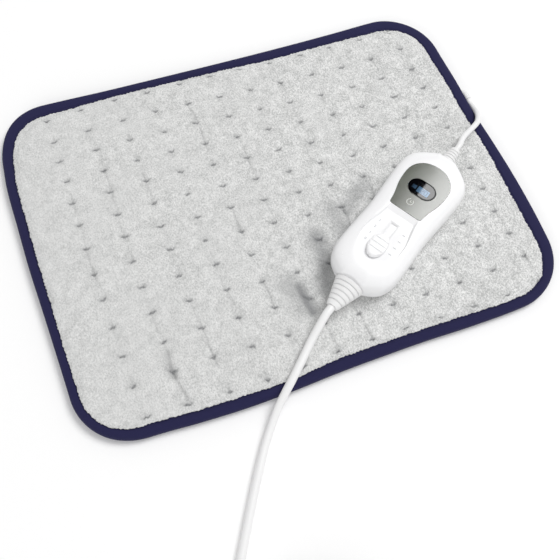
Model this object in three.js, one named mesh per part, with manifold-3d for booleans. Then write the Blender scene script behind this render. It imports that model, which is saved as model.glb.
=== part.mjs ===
// Heating pad with a wired hand controller that lies on it.
// Millimetres, +Z up. The origin is on the floor under the middle of the pad, +X runs along its long side.
import * as THREE from 'three';
import { mergeVertices } from 'three/addons/utils/BufferGeometryUtils.js';
import Module from 'manifold-3d';

const wasm = await Module();
wasm.setup();

// Clearances that every piece shares
const seatGap = 0.3;
const floorGap = 0.1;
const overrun = 1;

// Pad: sizes of its layers, listed from the floor up
const padLength = 400;
const padWidth = 300;
const padCornerRadius = 46;
const coverThickness = 1;
const lowerWaddingThickness = 2;
const carrierThickness = 0.8;
const wireDiameter = 1.6;
const fittingHeight = 2.2;
const upperWaddingThickness = 0.8;
const tuftFloorThickness = 0.8;
const crownThickness = 3.3;
const shoulderWidth = 22;
const layerMargin = 3;
const cornerSteps = 6;

// Pad: binding round the rim
const bindingHeight = 8;
const bindingLap = 9.2;
const bindingThickness = 1;
const bindingRound = 2.6;

// Pad: sewn tufts
const tuftColumns = 12;
const tuftRows = 13;
const tuftMarginX = 40;
const tuftMarginY = 14.4;
const tuftShiftX = 5;
const tuftShiftY = -0.7;

// Pad: heater fittings
const wireEndMargin = 38;
const wireReturnMargin = 22;
const wireReturnShift = 1.5;
const thermostatLength = 14;
const thermostatWidth = 8;
const spliceLength = 19;
const spliceWidth = 12;
const spliceInset = 21;
const tailWidth = 4.4;
const tailThickness = 1.5;

// Pad: sleeve that turns the lead into the seam
const leadEntryReach = 206;
const glandRadius = 3.5;
const glandBendRadius = 6;
const glandStraight = 5;
const glandInnerHalfWidth = 2.3;

// Controller: place from the pad's near right corner, and body
const controllerFromSide = 117.3;
const controllerFromNear = 93.6;
const controllerTurn = THREE.MathUtils.degToRad(32);
const bodyLength = 143;
const bodyHalfWidth = 29.8;
const bodyHeight = 24;
const undersideInset = 7;
const topInset = 13;
const wall = 2.2;
const ceiling = 2.4;

// Controller: lengths and places along the face, as shares of the body's length
const faceShares = {
  inlayFlat: 0.014,
  inlay: 0.36,
  windowPlace: 0.1923,
  window: 0.1077,
  display: 0.161,
  panelFlat: -0.021,
  panel: 0.325,
  panelSlope: 0.0308,
  knobPlace: -0.2531,
  knob: 0.1573,
  gripPitch: 0.0336,
  levelPitch: 0.04755,
  stem: 0.056,
  boardMargin: 0.147,
};

// Controller: heights, and the upright radii of its boots, as shares of the body's height
const heightShares = { parting: 0.4583, standoff: 0.3625, screw: 0.625 };
const mainsBootShares = { flange: 0.354, neck: 0.292, collar: 0.521 };
const padBootShares = { flange: 0.25, neck: 0.192, collar: 0.267 };

// Controller: grey-green inlay and the window in it
const inlayFlatHalfWidth = 14.6;
const inlayHalfWidth = 19.6;
const inlayCorner = 2.5;
const inlayThickness = 1;
const inlayProud = 0.1;
const windowWidth = 23.6;
const windowThickness = 3;
const windowProud = 0.2;
const lcdWidth = 27;
const lcdThickness = 3;
const headerLength = 2.5;
const headerWidth = 20;

// Controller: sunk panel with the level slider
const panelFlatHalfWidth = 13;
const panelHalfWidth = 17.6;
const panelDepth = 2.2;
const panelThickness = 1.2;
const panelDraft = 0.4;
const knobWidth = 15;
const knobHeight = 3.5;
const gripWidth = 1.2;
const gripDepth = 0.6;
const levelCount = 3;
const stemWidth = 5.4;
const skirtWidth = 10;
const skirtThickness = 0.8;
const skirtLap = 1;
const leverSide = 2;
const switchWidth = 9;
const switchWall = 3.5;
const switchHeightShare = 0.714;
const channelDepthShare = 0.6;

// Controller: board and what stands on it
const boardSideMargin = 8.8;
const boardThickness = 1.6;
const standoffRadius = 2.6;
const boardScrewShaftRadius = 1.1;
const boardScrewHeadRadius = 2.3;
const boardScrewHeadHeight = 1.4;
const boardScrewLength = 6;
const smoothingCapacitorRadius = 4;
const fuseRadius = 2.5;

// Controller: screws from the underside
const screwPostRadius = 3.5;
const screwShaftRadius = 1.3;
const screwHeadRadius = 2.6;
const screwHeadHeight = 2;
const screwHeadRecess = 0.8;
const crossWidth = 0.8;
const crossLength = 3;
const crossDepth = 0.9;

// Cords and their boots
const mainsCordDiameter = 6.4;
const padLeadDiameter = 5;
const bootFlatShare = 0.8;
const mainsBootLengths = { tip: 5, inner: 7.5, flangeDepth: 1.7, length: 23.5 };
const padBootLengths = { tip: 4.2, inner: 6, flangeDepth: 1.5, length: 15.5 };
const tailLength = 9;
const clampLength = 4;
const clampSide = 3.2;
const clampTopShare = 0.75;

// Coil of the mains lead, placed from the pad's near right corner, and its plug
const coilFromSide = 308.4;
const coilFromNear = 179.5;
const coilRadius = 53.5;
const coilGap = 0.7;
const coilStart = THREE.MathUtils.degToRad(148.6);
const coilTurns = 6.337;
const plugLeadReach = 52;
const plugBootLength = 22;
const plugBootRadius = 5.6;
const plugBootTip = 4.4;
const plugLength = 28;
const plugHalfWidth = 17.6;
const plugTailHalfWidth = 7;
const plugThickness = 13.7;
const pinSpacing = 18.6;
const pinRadius = 2;
const pinLength = 19;

// Heights and insets worked out from those sizes
const rimBase = bindingThickness + seatGap;
const rimInset = bindingRound + seatGap;
const lowerRimTop = rimBase + coverThickness;
const upperRimTop = bindingHeight - rimBase;
const upperRimBase = upperRimTop - coverThickness;
const rimMiddle = (lowerRimTop + upperRimBase) / 2;
const coverInset = bindingLap + seatGap;
const lowerWaddingBase = coverThickness + seatGap;
const carrierBase = lowerWaddingBase + lowerWaddingThickness + seatGap;
const carrierTop = carrierBase + carrierThickness;
const fittingBase = carrierTop + seatGap;
const upperWaddingBase = fittingBase + fittingHeight + seatGap;
const topCoverBase = upperWaddingBase + upperWaddingThickness + seatGap;
const crownTop = topCoverBase + crownThickness;

// The pad's near right corner, and what is placed from it
const cornerX = padLength / 2;
const cornerY = -padWidth / 2;
const leadEntryPlace = cornerY + leadEntryReach;
const controllerX = cornerX - controllerFromSide;
const controllerY = cornerY + controllerFromNear;
const controllerBase = crownTop + seatGap;
const coilX = cornerX - coilFromSide;
const coilY = cornerY - coilFromNear;

// Lengths, heights and radii worked out from the controller's own length and height
const inlayFlatPlace = faceShares.inlayFlat * bodyLength;
const inlayLength = faceShares.inlay * bodyLength;
const windowPlace = faceShares.windowPlace * bodyLength;
const windowLength = faceShares.window * bodyLength;
const lcdLength = faceShares.display * bodyLength;
const panelFlatPlace = faceShares.panelFlat * bodyLength;
const panelLength = faceShares.panel * bodyLength;
const panelSlopeRun = faceShares.panelSlope * bodyLength;
const knobPlace = faceShares.knobPlace * bodyLength;
const knobLength = faceShares.knob * bodyLength;
const gripPitch = faceShares.gripPitch * bodyLength;
const stemLength = faceShares.stem * bodyLength;
const travel = faceShares.levelPitch * bodyLength * levelCount;
const partingHeight = heightShares.parting * bodyHeight;
const standoffHeight = heightShares.standoff * bodyHeight;
const screwLength = heightShares.screw * bodyHeight;
const radii = (shares) => Object.fromEntries(
  Object.entries(shares).map(([name, share]) => [name, share * bodyHeight]),
);
const mainsBoot = { ...mainsBootLengths, ...radii(mainsBootShares) };
const padBoot = { ...padBootLengths, ...radii(padBootShares) };
const upperBase = partingHeight + seatGap;
const bootAxisHeight = partingHeight + seatGap / 2;
const panelFloor = bodyHeight - panelDepth;
const boardBase = standoffHeight + seatGap;
const boardTop = boardBase + boardThickness;
const componentBase = boardTop + seatGap;
const boardHalfLength = (0.5 - faceShares.boardMargin) * bodyLength;
const boardHalfWidth = bodyHalfWidth - boardSideMargin;

// Turns a geometry inside out where its faces point in, and joins its shared corners
function outward(geometry) {
  geometry.deleteAttribute('normal');
  geometry.deleteAttribute('uv');
  const joined = mergeVertices(geometry);
  const place = joined.attributes.position;
  const index = joined.index.array;
  const corner = (i) => new THREE.Vector3().fromBufferAttribute(place, index[i]);
  let volume = 0;
  for (let i = 0; i < index.length; i += 3) {
    volume += corner(i).dot(corner(i + 1).cross(corner(i + 2)));
  }
  if (volume < 0) {
    for (let i = 0; i < index.length; i += 3) {
      [index[i], index[i + 1]] = [index[i + 1], index[i]];
    }
  }
  return joined;
}

// A solid for cutting and joining, and the way back
function solid(geometry) {
  const joined = outward(geometry);
  const vertProperties = Float32Array.from(joined.attributes.position.array);
  const triVerts = Uint32Array.from(joined.index.array);
  return new wasm.Manifold(new wasm.Mesh({ numProp: 3, vertProperties, triVerts }));
}

function geometryOf(body) {
  const mesh = body.getMesh();
  const geometry = new THREE.BufferGeometry();
  geometry.setAttribute('position', new THREE.BufferAttribute(mesh.vertProperties, 3));
  geometry.setIndex(new THREE.BufferAttribute(mesh.triVerts, 1));
  return geometry;
}

// Skins a stack of rings that have the same number of points. A looped stack closes on itself, and
// an open one is closed by a fan over each end.
function stackRings(rings, looped = false) {
  const count = rings[0].length;
  const points = rings.flat();
  const index = [];
  const last = looped ? rings.length : rings.length - 1;
  for (let i = 0; i < last; i++) {
    const low = i * count;
    const high = ((i + 1) % rings.length) * count;
    for (let j = 0; j < count; j++) {
      const next = (j + 1) % count;
      index.push(low + j, low + next, high + next, low + j, high + next, high + j);
    }
  }
  const fan = (start, flip) => {
    const middle = new THREE.Vector3();
    points.slice(start, start + count).forEach((point) => middle.add(point));
    points.push(middle.divideScalar(count));
    for (let j = 0; j < count; j++) {
      const edge = [start + j, start + ((j + 1) % count)];
      index.push(...(flip ? edge.reverse() : edge), points.length - 1);
    }
  };
  if (!looped) {
    fan(0, true);
    fan((rings.length - 1) * count, false);
  }
  const geometry = new THREE.BufferGeometry().setFromPoints(points);
  geometry.setIndex(index);
  return outward(geometry);
}

// A round or oval ring about a point, square to a direction
function sectionRing(centre, along, up, halfWidth, halfHeight, sides) {
  const side = new THREE.Vector3().crossVectors(along, up).normalize();
  const lift = new THREE.Vector3().crossVectors(side, along).normalize();
  return Array.from({ length: sides }, (_, i) => {
    const angle = ((i + 0.5) / sides) * 2 * Math.PI;
    return centre.clone()
      .addScaledVector(side, halfWidth * Math.cos(angle))
      .addScaledVector(lift, halfHeight * Math.sin(angle));
  });
}

// A tube through a list of points, with one ring at each
function wire(points, radius, sides) {
  const up = new THREE.Vector3(0, 0, 1);
  const rings = points.map((point, i) => {
    const before = points[Math.max(i - 1, 0)];
    const after = points[Math.min(i + 1, points.length - 1)];
    const along = new THREE.Vector3().subVectors(after, before).normalize();
    return sectionRing(point, along, up, radius, radius, sides);
  });
  return stackRings(rings);
}

// A free stretch of cord along a smooth curve
function cord(route, diameter, sides, steps) {
  const section = new THREE.Shape(Array.from({ length: sides }, (_, i) => {
    const angle = (i / sides) * 2 * Math.PI;
    return new THREE.Vector2(Math.cos(angle) * diameter / 2, Math.sin(angle) * diameter / 2);
  }));
  const extrudePath = new THREE.CatmullRomCurve3(route.map((point) => new THREE.Vector3(...point)));
  return new THREE.ExtrudeGeometry(section, { extrudePath, steps });
}

// A box from its size and the middle of its underside
function block(size, x, y, base) {
  return new THREE.BoxGeometry(...size).translate(x, y, base + size[2] / 2);
}

// An upright round post
function post(radius, x, y, base, top, sides = 14) {
  const geometry = new THREE.CylinderGeometry(radius, radius, top - base, sides);
  return geometry.rotateX(Math.PI / 2).translate(x, y, (base + top) / 2);
}

// A flat outline raised between two heights
function plate(outline, base, top) {
  const shape = new THREE.Shape(outline);
  return new THREE.ExtrudeGeometry(shape, { depth: top - base, bevelEnabled: false }).translate(0, 0, base);
}

// A ring of the pad's rounded rectangle, drawn in by an inset
function rimRing(inset, height) {
  const radius = padCornerRadius - inset;
  const ring = [];
  for (let quarter = 0; quarter < 4; quarter++) {
    const x = (padLength / 2 - padCornerRadius) * (quarter === 0 || quarter === 3 ? 1 : -1);
    const y = (padWidth / 2 - padCornerRadius) * (quarter < 2 ? 1 : -1);
    for (let step = 0; step <= cornerSteps; step++) {
      const angle = (quarter + step / cornerSteps) * Math.PI / 2;
      ring.push(new THREE.Vector3(x + radius * Math.cos(angle), y + radius * Math.sin(angle), height));
    }
  }
  return ring;
}

const rimBody = (profile) => stackRings(profile.map(([inset, height]) => rimRing(inset, height)));

// Materials, with the colours of the photographed object
function finish(color, roughness, metalness = 0) {
  return new THREE.MeshStandardMaterial({ color, roughness, metalness });
}
const plush = finish('#d3d2cf', 1);
const backing = finish('#c9c9c8', 1);
const wadding = finish('#e6e3dc', 1);
const felt = finish('#b9b4a8', 1);
const navy = finish('#2b2850', 0.6);
const whiteShell = finish('#f1f2f4', 0.25);
const whiteCord = finish('#f0f0ef', 0.5);
const greyGreen = finish('#8a8f86', 0.45);
const smoked = finish('#10131a', 0.08);
const display = finish('#9fc0dc', 0.3);
const boardGreen = finish('#2f6b45', 0.6);
const blackPart = finish('#22242a', 0.5);
const bluePart = finish('#2c4a7c', 0.5);
const cream = finish('#d9d2b8', 0.6);
const steel = finish('#b7babd', 0.3, 1);
const copper = finish('#a9765a', 0.4, 1);

const part = new THREE.Group();
const controller = new THREE.Group();
controller.position.set(controllerX, controllerY, controllerBase);
controller.rotation.z = controllerTurn;
part.add(controller);

function add(group, name, geometry, material) {
  const shaped = geometry instanceof wasm.Manifold ? geometryOf(geometry) : outward(geometry);
  const mesh = new THREE.Mesh(shaped, material);
  mesh.name = name;
  group.add(mesh);
}

// Underside cover: flat on the floor, lifted at its rim into the binding
add(part, 'bottom_cover', rimBody([
  [coverInset + coverThickness, 0],
  [coverInset, rimBase],
  [rimInset, rimBase],
  [rimInset, lowerRimTop],
  [coverInset, lowerRimTop],
  [coverInset + lowerRimTop, coverThickness],
]), backing);

// Lead tail and splice block, let into the layers beside the seam
const grown = (size) => size.map((length) => length + 2 * seatGap);
const spliceX = padLength / 2 - spliceInset - spliceLength / 2;
const spliceBase = rimMiddle - tailThickness;
const spliceSize = [spliceLength, spliceWidth, fittingBase + wireDiameter - spliceBase];
const tailEnd = padLength / 2 - bindingThickness - 2 * seatGap;
const tailStart = padLength / 2 - spliceInset + seatGap;
const leadTailSize = [tailEnd - seatGap - tailStart, tailWidth, tailThickness];
const leadTailPlace = [(tailEnd - seatGap + tailStart) / 2, leadEntryPlace, rimMiddle - tailThickness / 2];
add(part, 'splice_block', block(spliceSize, spliceX, leadEntryPlace, spliceBase), cream);
add(part, 'lead_tail', block(leadTailSize, ...leadTailPlace), whiteCord);
const seamPocket = solid(block(grown(spliceSize), spliceX, leadEntryPlace, spliceBase - seatGap))
  .add(solid(block(grown(leadTailSize), leadTailPlace[0], leadTailPlace[1], leadTailPlace[2] - seatGap)));

// Waddings and the felt that carries the heater, all inside the binding
const layerInset = coverInset + lowerRimTop + layerMargin;
const layer = (base, thickness) => rimBody([[layerInset, base], [layerInset, base + thickness]]);
const lowerWadding = solid(layer(lowerWaddingBase, lowerWaddingThickness));
add(part, 'lower_wadding', lowerWadding.subtract(seamPocket), wadding);
add(part, 'heater_carrier', solid(layer(carrierBase, carrierThickness)).subtract(seamPocket), felt);
add(part, 'upper_wadding', layer(upperWaddingBase, upperWaddingThickness), wadding);

// Tuft places, shared by the cover, the heating wire and the thermostats
const tuftPitchX = (padLength - 2 * tuftMarginX) / (tuftColumns - 1);
const tuftPitchY = (padWidth - 2 * tuftMarginY) / (tuftRows - 1);
const tuftX = (column) => tuftShiftX + (column - (tuftColumns - 1) / 2) * tuftPitchX;
const tuftY = (row) => tuftShiftY + (row - (tuftRows - 1) / 2) * tuftPitchY;

// Heating wire: one serpentine between the tuft columns, back to the splice block
function roundedRoute(corners, radius, arcSteps) {
  const route = [corners[0]];
  for (let i = 1; i < corners.length - 1; i++) {
    const back = corners[i - 1].clone().sub(corners[i]);
    const on = corners[i + 1].clone().sub(corners[i]);
    const reach = Math.min(radius, back.length() * 0.49, on.length() * 0.49);
    back.setLength(reach);
    on.setLength(reach);
    for (let step = 0; step <= arcSteps; step++) {
      const angle = (step / arcSteps) * Math.PI / 2;
      route.push(corners[i].clone()
        .addScaledVector(back, 1 - Math.sin(angle))
        .addScaledVector(on, 1 - Math.cos(angle)));
    }
  }
  route.push(corners[corners.length - 1]);
  return route;
}

const wireHeight = fittingBase + wireDiameter / 2;
const wireEnd = padWidth / 2 - wireEndMargin;
const wireCorners = [[spliceX - spliceLength / 2 - seatGap, leadEntryPlace]];
let wireX = tuftX(tuftColumns - 1.5);
wireCorners.push([wireX, leadEntryPlace]);
for (let run = 1; run < tuftColumns - 1; run++) {
  const end = run % 2 ? -wireEnd : wireEnd;
  wireCorners.push([wireX, end]);
  wireX -= tuftPitchX;
  wireCorners.push([wireX, end]);
}
const wireReturn = wireReturnMargin - padWidth / 2;
wireCorners.push([wireX, wireReturn]);
wireCorners.push([spliceX - wireReturnShift, wireReturn]);
wireCorners.push([spliceX - wireReturnShift, leadEntryPlace - spliceWidth / 2 - seatGap]);
const wirePoints = wireCorners.map(([x, y]) => new THREE.Vector3(x, y, wireHeight));
const wireRoute = roundedRoute(wirePoints, tuftPitchX / 2, 3);
add(part, 'heating_wire', wire(wireRoute, wireDiameter / 2, 5), copper);

// Overheat cut-outs on the carrier, each on a tuft column clear of the wire
const thermostatTufts = [[4, 4.5], [7, 8]];
thermostatTufts.forEach(([column, row], i) => {
  const size = [thermostatWidth, thermostatLength, fittingHeight];
  add(part, `thermostat_${i + 1}`, block(size, tuftX(column), tuftY(row), fittingBase), steel);
});

// Tufted cover: a field of dents cut to the pad's crown and drawn-in sides
function tuftedField(base) {
  const columnLines = [-padLength / 2 - overrun];
  for (let i = -1; i < 2 * tuftColumns; i++) columnLines.push(tuftX(i / 2));
  columnLines.push(padLength / 2 + overrun);
  const rowLines = [-padWidth / 2 - overrun];
  for (let j = -1; j < 2 * tuftRows; j++) rowLines.push(tuftY(j / 2));
  rowLines.push(padWidth / 2 + overrun);
  const columnCreaseShare = 0.5;
  const rowCreaseShare = 0.8;
  const rise = crownThickness - tuftFloorThickness;
  const height = (i, j) => {
    const onColumn = i % 2 === 0 && i > 1 && i < columnLines.length - 2;
    const onRow = j % 2 === 0 && j > 1 && j < rowLines.length - 2;
    if (onColumn && onRow) return topCoverBase + tuftFloorThickness;
    if (onColumn) return crownTop - rise * (1 - columnCreaseShare);
    if (onRow) return crownTop - rise * (1 - rowCreaseShare);
    return crownTop;
  };
  const width = columnLines.length;
  const points = [];
  rowLines.forEach((y, j) => {
    columnLines.forEach((x, i) => points.push(new THREE.Vector3(x, y, height(i, j))));
  });
  const index = [];
  for (let j = 0; j < rowLines.length - 1; j++) {
    for (let i = 0; i < width - 1; i++) {
      const a = j * width + i;
      const [b, c, d] = [a + 1, a + width + 1, a + width];
      if ((i + j) % 2 === 0) index.push(a, b, c, a, c, d);
      else index.push(a, b, d, b, c, d);
    }
  }
  const edge = [];
  for (let i = 0; i < width - 1; i++) edge.push(i);
  for (let j = 0; j < rowLines.length - 1; j++) edge.push(j * width + width - 1);
  for (let i = width - 1; i > 0; i--) edge.push((rowLines.length - 1) * width + i);
  for (let j = rowLines.length - 1; j > 0; j--) edge.push(j * width);
  const start = points.length;
  edge.forEach((i) => points.push(points[i].clone().setZ(base)));
  points.push(new THREE.Vector3(0, 0, base));
  edge.forEach((a, i) => {
    const next = (i + 1) % edge.length;
    index.push(a, start + next, edge[next], a, start + i, start + next);
    index.push(start + next, start + i, points.length - 1);
  });
  const geometry = new THREE.BufferGeometry().setFromPoints(points);
  geometry.setIndex(index);
  return geometry;
}

const shoulderShares = [[0.06, 0.32], [0.22, 0.63], [0.5, 0.88], [1, 1.12]];
const shoulder = shoulderShares.map(([inset, height]) => [
  coverInset + inset * shoulderWidth,
  upperRimTop + height * (crownTop - upperRimTop),
]);
const crownEnvelope = rimBody([
  [layerInset - seatGap, topCoverBase],
  [coverInset + coverThickness, upperRimBase],
  [rimInset, upperRimBase],
  [rimInset, upperRimTop],
  [coverInset, upperRimTop],
  ...shoulder,
]);
add(part, 'top_cover', solid(crownEnvelope).intersect(solid(tuftedField(upperRimBase - overrun))), plush);

// Lead sleeve: round where the lead comes in along the edge, flat where it passes through the seam
const glandX = padLength / 2 + glandRadius + seatGap;
const glandHeight = glandRadius + seatGap;
const glandInnerHalfHeight = (upperRimBase - lowerRimTop) / 2 - seatGap;
function gland(grow) {
  const rings = [];
  const steps = 7;
  const level = new THREE.Vector3(0, 0, 1);
  const bendY = leadEntryPlace - glandBendRadius;
  for (let step = -2; step <= steps + 1; step++) {
    const bent = Math.min(Math.max(step, 0), steps) / steps;
    const angle = bent * Math.PI / 2;
    const drop = Math.min(bent / 0.7, 1);
    const along = new THREE.Vector3(-Math.sin(angle), Math.cos(angle), 0);
    const centre = new THREE.Vector3(
      glandX - glandBendRadius * (1 - Math.cos(angle)),
      bendY + glandBendRadius * Math.sin(angle),
      THREE.MathUtils.lerp(glandHeight, rimMiddle, drop),
    );
    if (step < 0) centre.y -= glandStraight * (-step / 2);
    if (step > steps) centre.x = tailEnd;
    rings.push(sectionRing(
      centre, along, level,
      THREE.MathUtils.lerp(glandRadius, glandInnerHalfWidth, drop) + grow,
      THREE.MathUtils.lerp(glandRadius, glandInnerHalfHeight, drop) + grow,
      12,
    ));
  }
  return stackRings(rings);
}
add(part, 'pad_cord_gland', gland(0), whiteCord);

// Binding: a C-shaped strip folded round the rim, with a hole for the sleeve
const bindingShares = [[1, 0], [0.3, 0.12], [0, 0.36], [0, 0.64], [0.3, 0.88], [1, 1]];
const bindingInside = bindingHeight - 2 * bindingThickness;
const bindingOuter = bindingShares.map(([inset, height]) => [inset * bindingRound, height * bindingHeight]);
const bindingInner = bindingShares.map(([inset, height]) => [
  THREE.MathUtils.lerp(bindingThickness, bindingRound, inset),
  bindingThickness + height * bindingInside,
]);
const bindingProfile = [
  [bindingLap, 0], ...bindingOuter, [bindingLap, bindingHeight],
  [bindingLap, bindingHeight - bindingThickness], ...bindingInner.reverse(), [bindingLap, bindingThickness],
];
const bindingRing = stackRings(bindingProfile.map(([inset, height]) => rimRing(inset, height)), true);
add(part, 'edge_binding', solid(bindingRing).subtract(solid(gland(seatGap))), navy);

// Controller body: an outline with two lobes and a waist, as shares of its length and half-width
const outlineShares = [
  [0, 0.34], [0.025, 0.58], [0.063, 0.79], [0.12, 0.915], [0.196, 0.953], [0.32, 0.94], [0.455, 0.92],
  [0.594, 0.953], [0.755, 1], [0.84, 0.983], [0.895, 0.895], [0.937, 0.72], [0.972, 0.487], [1, 0.268],
];
const bodyHalf = new THREE.CatmullRomCurve3(outlineShares.map(([along, across]) => (
  new THREE.Vector3((along - 0.5) * bodyLength, across * bodyHalfWidth, 0)
))).getSpacedPoints(18);
const bodyOutline = [...bodyHalf, ...bodyHalf.map(({ x, y }) => new THREE.Vector3(x, -y, 0)).reverse()];
const bodyRing = (inset, height) => bodyOutline.map(({ x, y }) => new THREE.Vector3(
  x * (1 - inset / (bodyLength / 2)),
  y * (1 - inset / bodyHalfWidth),
  height,
));
const undersideShares = [[1, 0], [0.5, 0.09], [0.17, 0.3], [0.02, 0.62], [0, 1]];
const crestShares = [
  [0, 0], [0.01, 0.22], [0.06, 0.45], [0.17, 0.66], [0.36, 0.83], [0.6, 0.94], [0.82, 0.985], [1, 1],
];

const lowerOuter = solid(stackRings(undersideShares.map(([inset, height]) => (
  bodyRing(inset * undersideInset, height * partingHeight)
))));
const lowerCavity = solid(stackRings([
  ...undersideShares.map(([inset, height]) => (
    bodyRing(wall + inset * undersideInset, wall + height * (partingHeight - wall))
  )),
  bodyRing(wall, partingHeight + overrun),
]));
const upperOuter = solid(stackRings(crestShares.map(([inset, height]) => (
  bodyRing(inset * topInset, upperBase + height * (bodyHeight - upperBase))
))));
const upperCavity = solid(stackRings([
  bodyRing(wall, upperBase - overrun),
  ...crestShares.map(([inset, height]) => (
    bodyRing(wall + inset * topInset, upperBase + height * (bodyHeight - ceiling - upperBase))
  )),
]));

// Boots: a flange inside the shells, a neck through their ends, then a ribbed taper outside
function boot(size, ribs) {
  const flangeFront = size.flangeDepth - size.inner;
  const profile = [[0, -size.inner], [size.flange, -size.inner], [size.flange, flangeFront]];
  profile.push([size.neck, flangeFront], [size.neck, seatGap], [size.collar, seatGap]);
  const pitch = (size.length - seatGap) / ribs;
  for (let rib = 0; rib < ribs; rib++) {
    const from = seatGap + rib * pitch;
    const outer = (share) => THREE.MathUtils.lerp(size.collar, size.tip, (rib + share) / ribs);
    if (rib > 0) profile.push([outer(0), from]);
    profile.push([outer(0.6), from + pitch * 0.6]);
    if (rib < ribs - 1) {
      const sunk = outer(0.8) - pitch * 0.26;
      profile.push([sunk, from + pitch * 0.7], [sunk, from + pitch * 0.9]);
    }
  }
  profile.push([size.tip, size.length], [0, size.length]);
  const turned = new THREE.LatheGeometry(profile.map(([r, x]) => new THREE.Vector2(r, x)), 12);
  return turned.scale(1, 1, bootFlatShare);
}
const bootAt = (geometry, end) => geometry.rotateZ(-end * Math.PI / 2)
  .translate(end * bodyLength / 2, 0, bootAxisHeight);
const neckHole = (size, end) => solid(bootAt(
  new THREE.CylinderGeometry(size.neck + seatGap, size.neck + seatGap, 2 * size.flangeDepth + 2 * wall, 16)
    .scale(1, 1, bootFlatShare),
  end,
));
const neckHoles = neckHole(mainsBoot, -1).add(neckHole(padBoot, 1));
add(controller, 'mains_cord_boot', bootAt(boot(mainsBoot, 6), -1), whiteCord);
add(controller, 'pad_cord_boot', bootAt(boot(padBoot, 5), 1), whiteCord);

// Screw posts and board standoffs, as shares of the body and of the board
const postShares = [[-0.82, 0.54], [-0.82, -0.54], [0.79, 0.47], [0.79, -0.47]];
const screwPlaces = postShares.map(([along, across]) => [along * bodyLength / 2, across * bodyHalfWidth]);
const standoffShares = [[-0.87, 0.76], [0.87, -0.76], [-0.87, -0.76], [0.87, 0.76]];
const onBoard = ([along, across]) => [along * boardHalfLength, across * boardHalfWidth];
const standoffPlaces = standoffShares.map(onBoard);
const screwSeat = screwHeadRecess + screwHeadHeight + seatGap;
const screwTip = screwHeadRecess + screwHeadHeight + screwLength;

// Lower shell with its posts, standoffs and screw holes
let lowerShell = lowerOuter.subtract(lowerCavity);
const joinInside = (shell, outer, piece) => shell.add(solid(piece).intersect(outer));
screwPlaces.forEach(([x, y]) => {
  lowerShell = joinInside(lowerShell, lowerOuter, post(screwPostRadius, x, y, wall / 2, partingHeight));
});
standoffPlaces.forEach(([x, y]) => {
  lowerShell = joinInside(lowerShell, lowerOuter, post(standoffRadius, x, y, wall / 2, standoffHeight, 10));
});
screwPlaces.forEach(([x, y]) => {
  lowerShell = lowerShell
    .subtract(solid(post(screwHeadRadius + seatGap, x, y, -overrun, screwSeat)))
    .subtract(solid(post(screwShaftRadius + seatGap, x, y, -overrun, partingHeight + overrun, 10)));
});
const boardScrewPlaces = standoffPlaces.slice(0, 2);
const boardScrewTip = componentBase - boardScrewLength;
const boardScrewHoles = boardScrewPlaces.map(([x, y]) => solid(
  post(boardScrewShaftRadius + seatGap, x, y, boardScrewTip - seatGap, boardTop + overrun, 8),
));
boardScrewHoles.forEach((hole) => {
  lowerShell = lowerShell.subtract(hole);
});
add(controller, 'lower_housing', lowerShell.subtract(neckHoles), whiteShell);

// Shield outline: a straight edge with small corners, sides that flare, and a round far end
function shield({ flat, end, flatHalf, wideHalf, corner }, grow = 0) {
  const toEnd = Math.sign(end - flat);
  const from = flat - toEnd * grow;
  const to = end + toEnd * grow;
  const widest = THREE.MathUtils.lerp(flat, end, 0.64);
  const [low, high] = [flatHalf + grow, wideHalf + grow];
  const half = new THREE.Path();
  half.moveTo(from, 0);
  half.lineTo(from, low - corner);
  half.quadraticCurveTo(from, low, from + toEnd * corner, low);
  const flare = THREE.MathUtils.lerp(from, widest, 0.5);
  half.bezierCurveTo(flare, THREE.MathUtils.lerp(low, high, 0.35), flare, high, widest, high);
  const round = THREE.MathUtils.lerp(widest, to, 0.6);
  half.bezierCurveTo(round, high, to, high * 0.55, to, 0);
  const upper = half.getPoints(5);
  const lower = upper.slice(1, -1).map(({ x, y }) => new THREE.Vector2(x, -y)).reverse();
  return [...upper, ...lower];
}
const inlay = {
  flat: inlayFlatPlace,
  end: inlayFlatPlace + inlayLength,
  flatHalf: inlayFlatHalfWidth,
  wideHalf: inlayHalfWidth,
  corner: inlayCorner,
};
const panel = {
  flat: panelFlatPlace,
  end: panelFlatPlace - panelLength,
  flatHalf: panelFlatHalfWidth,
  wideHalf: panelHalfWidth,
  corner: inlayCorner,
};

// Display window: a pill across the body
function pill(grow = 0) {
  const radius = windowLength / 2 + grow;
  const straight = windowWidth / 2 - windowLength / 2;
  const shape = new THREE.Path();
  shape.absarc(windowPlace, straight, radius, 0, Math.PI);
  shape.absarc(windowPlace, -straight, radius, Math.PI, 2 * Math.PI);
  return shape.getPoints(10);
}

// Inlay, window, display module and its pin strip
const inlayTop = bodyHeight + inlayProud;
const inlayBase = inlayTop - inlayThickness;
const windowTop = inlayTop + windowProud;
const windowBase = windowTop - windowThickness;
const lcdBase = windowBase - seatGap - lcdThickness;
const headerHeight = lcdBase - seatGap - componentBase;
const headerX = windowPlace - lcdLength / 2 + headerLength;
const windowHole = solid(plate(pill(seatGap), windowBase - overrun, windowTop + overrun));
const inlayPlate = solid(plate(shield(inlay), inlayBase, inlayTop));
const headerSize = [headerLength, headerWidth, headerHeight];
add(controller, 'face_inlay', inlayPlate.subtract(windowHole), greyGreen);
add(controller, 'display_window', plate(pill(), windowBase, windowTop), smoked);
add(controller, 'lcd_module', block([lcdLength, lcdWidth, lcdThickness], windowPlace, 0, lcdBase), display);
add(controller, 'lcd_header', block(headerSize, headerX, 0, componentBase), blackPart);

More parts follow.
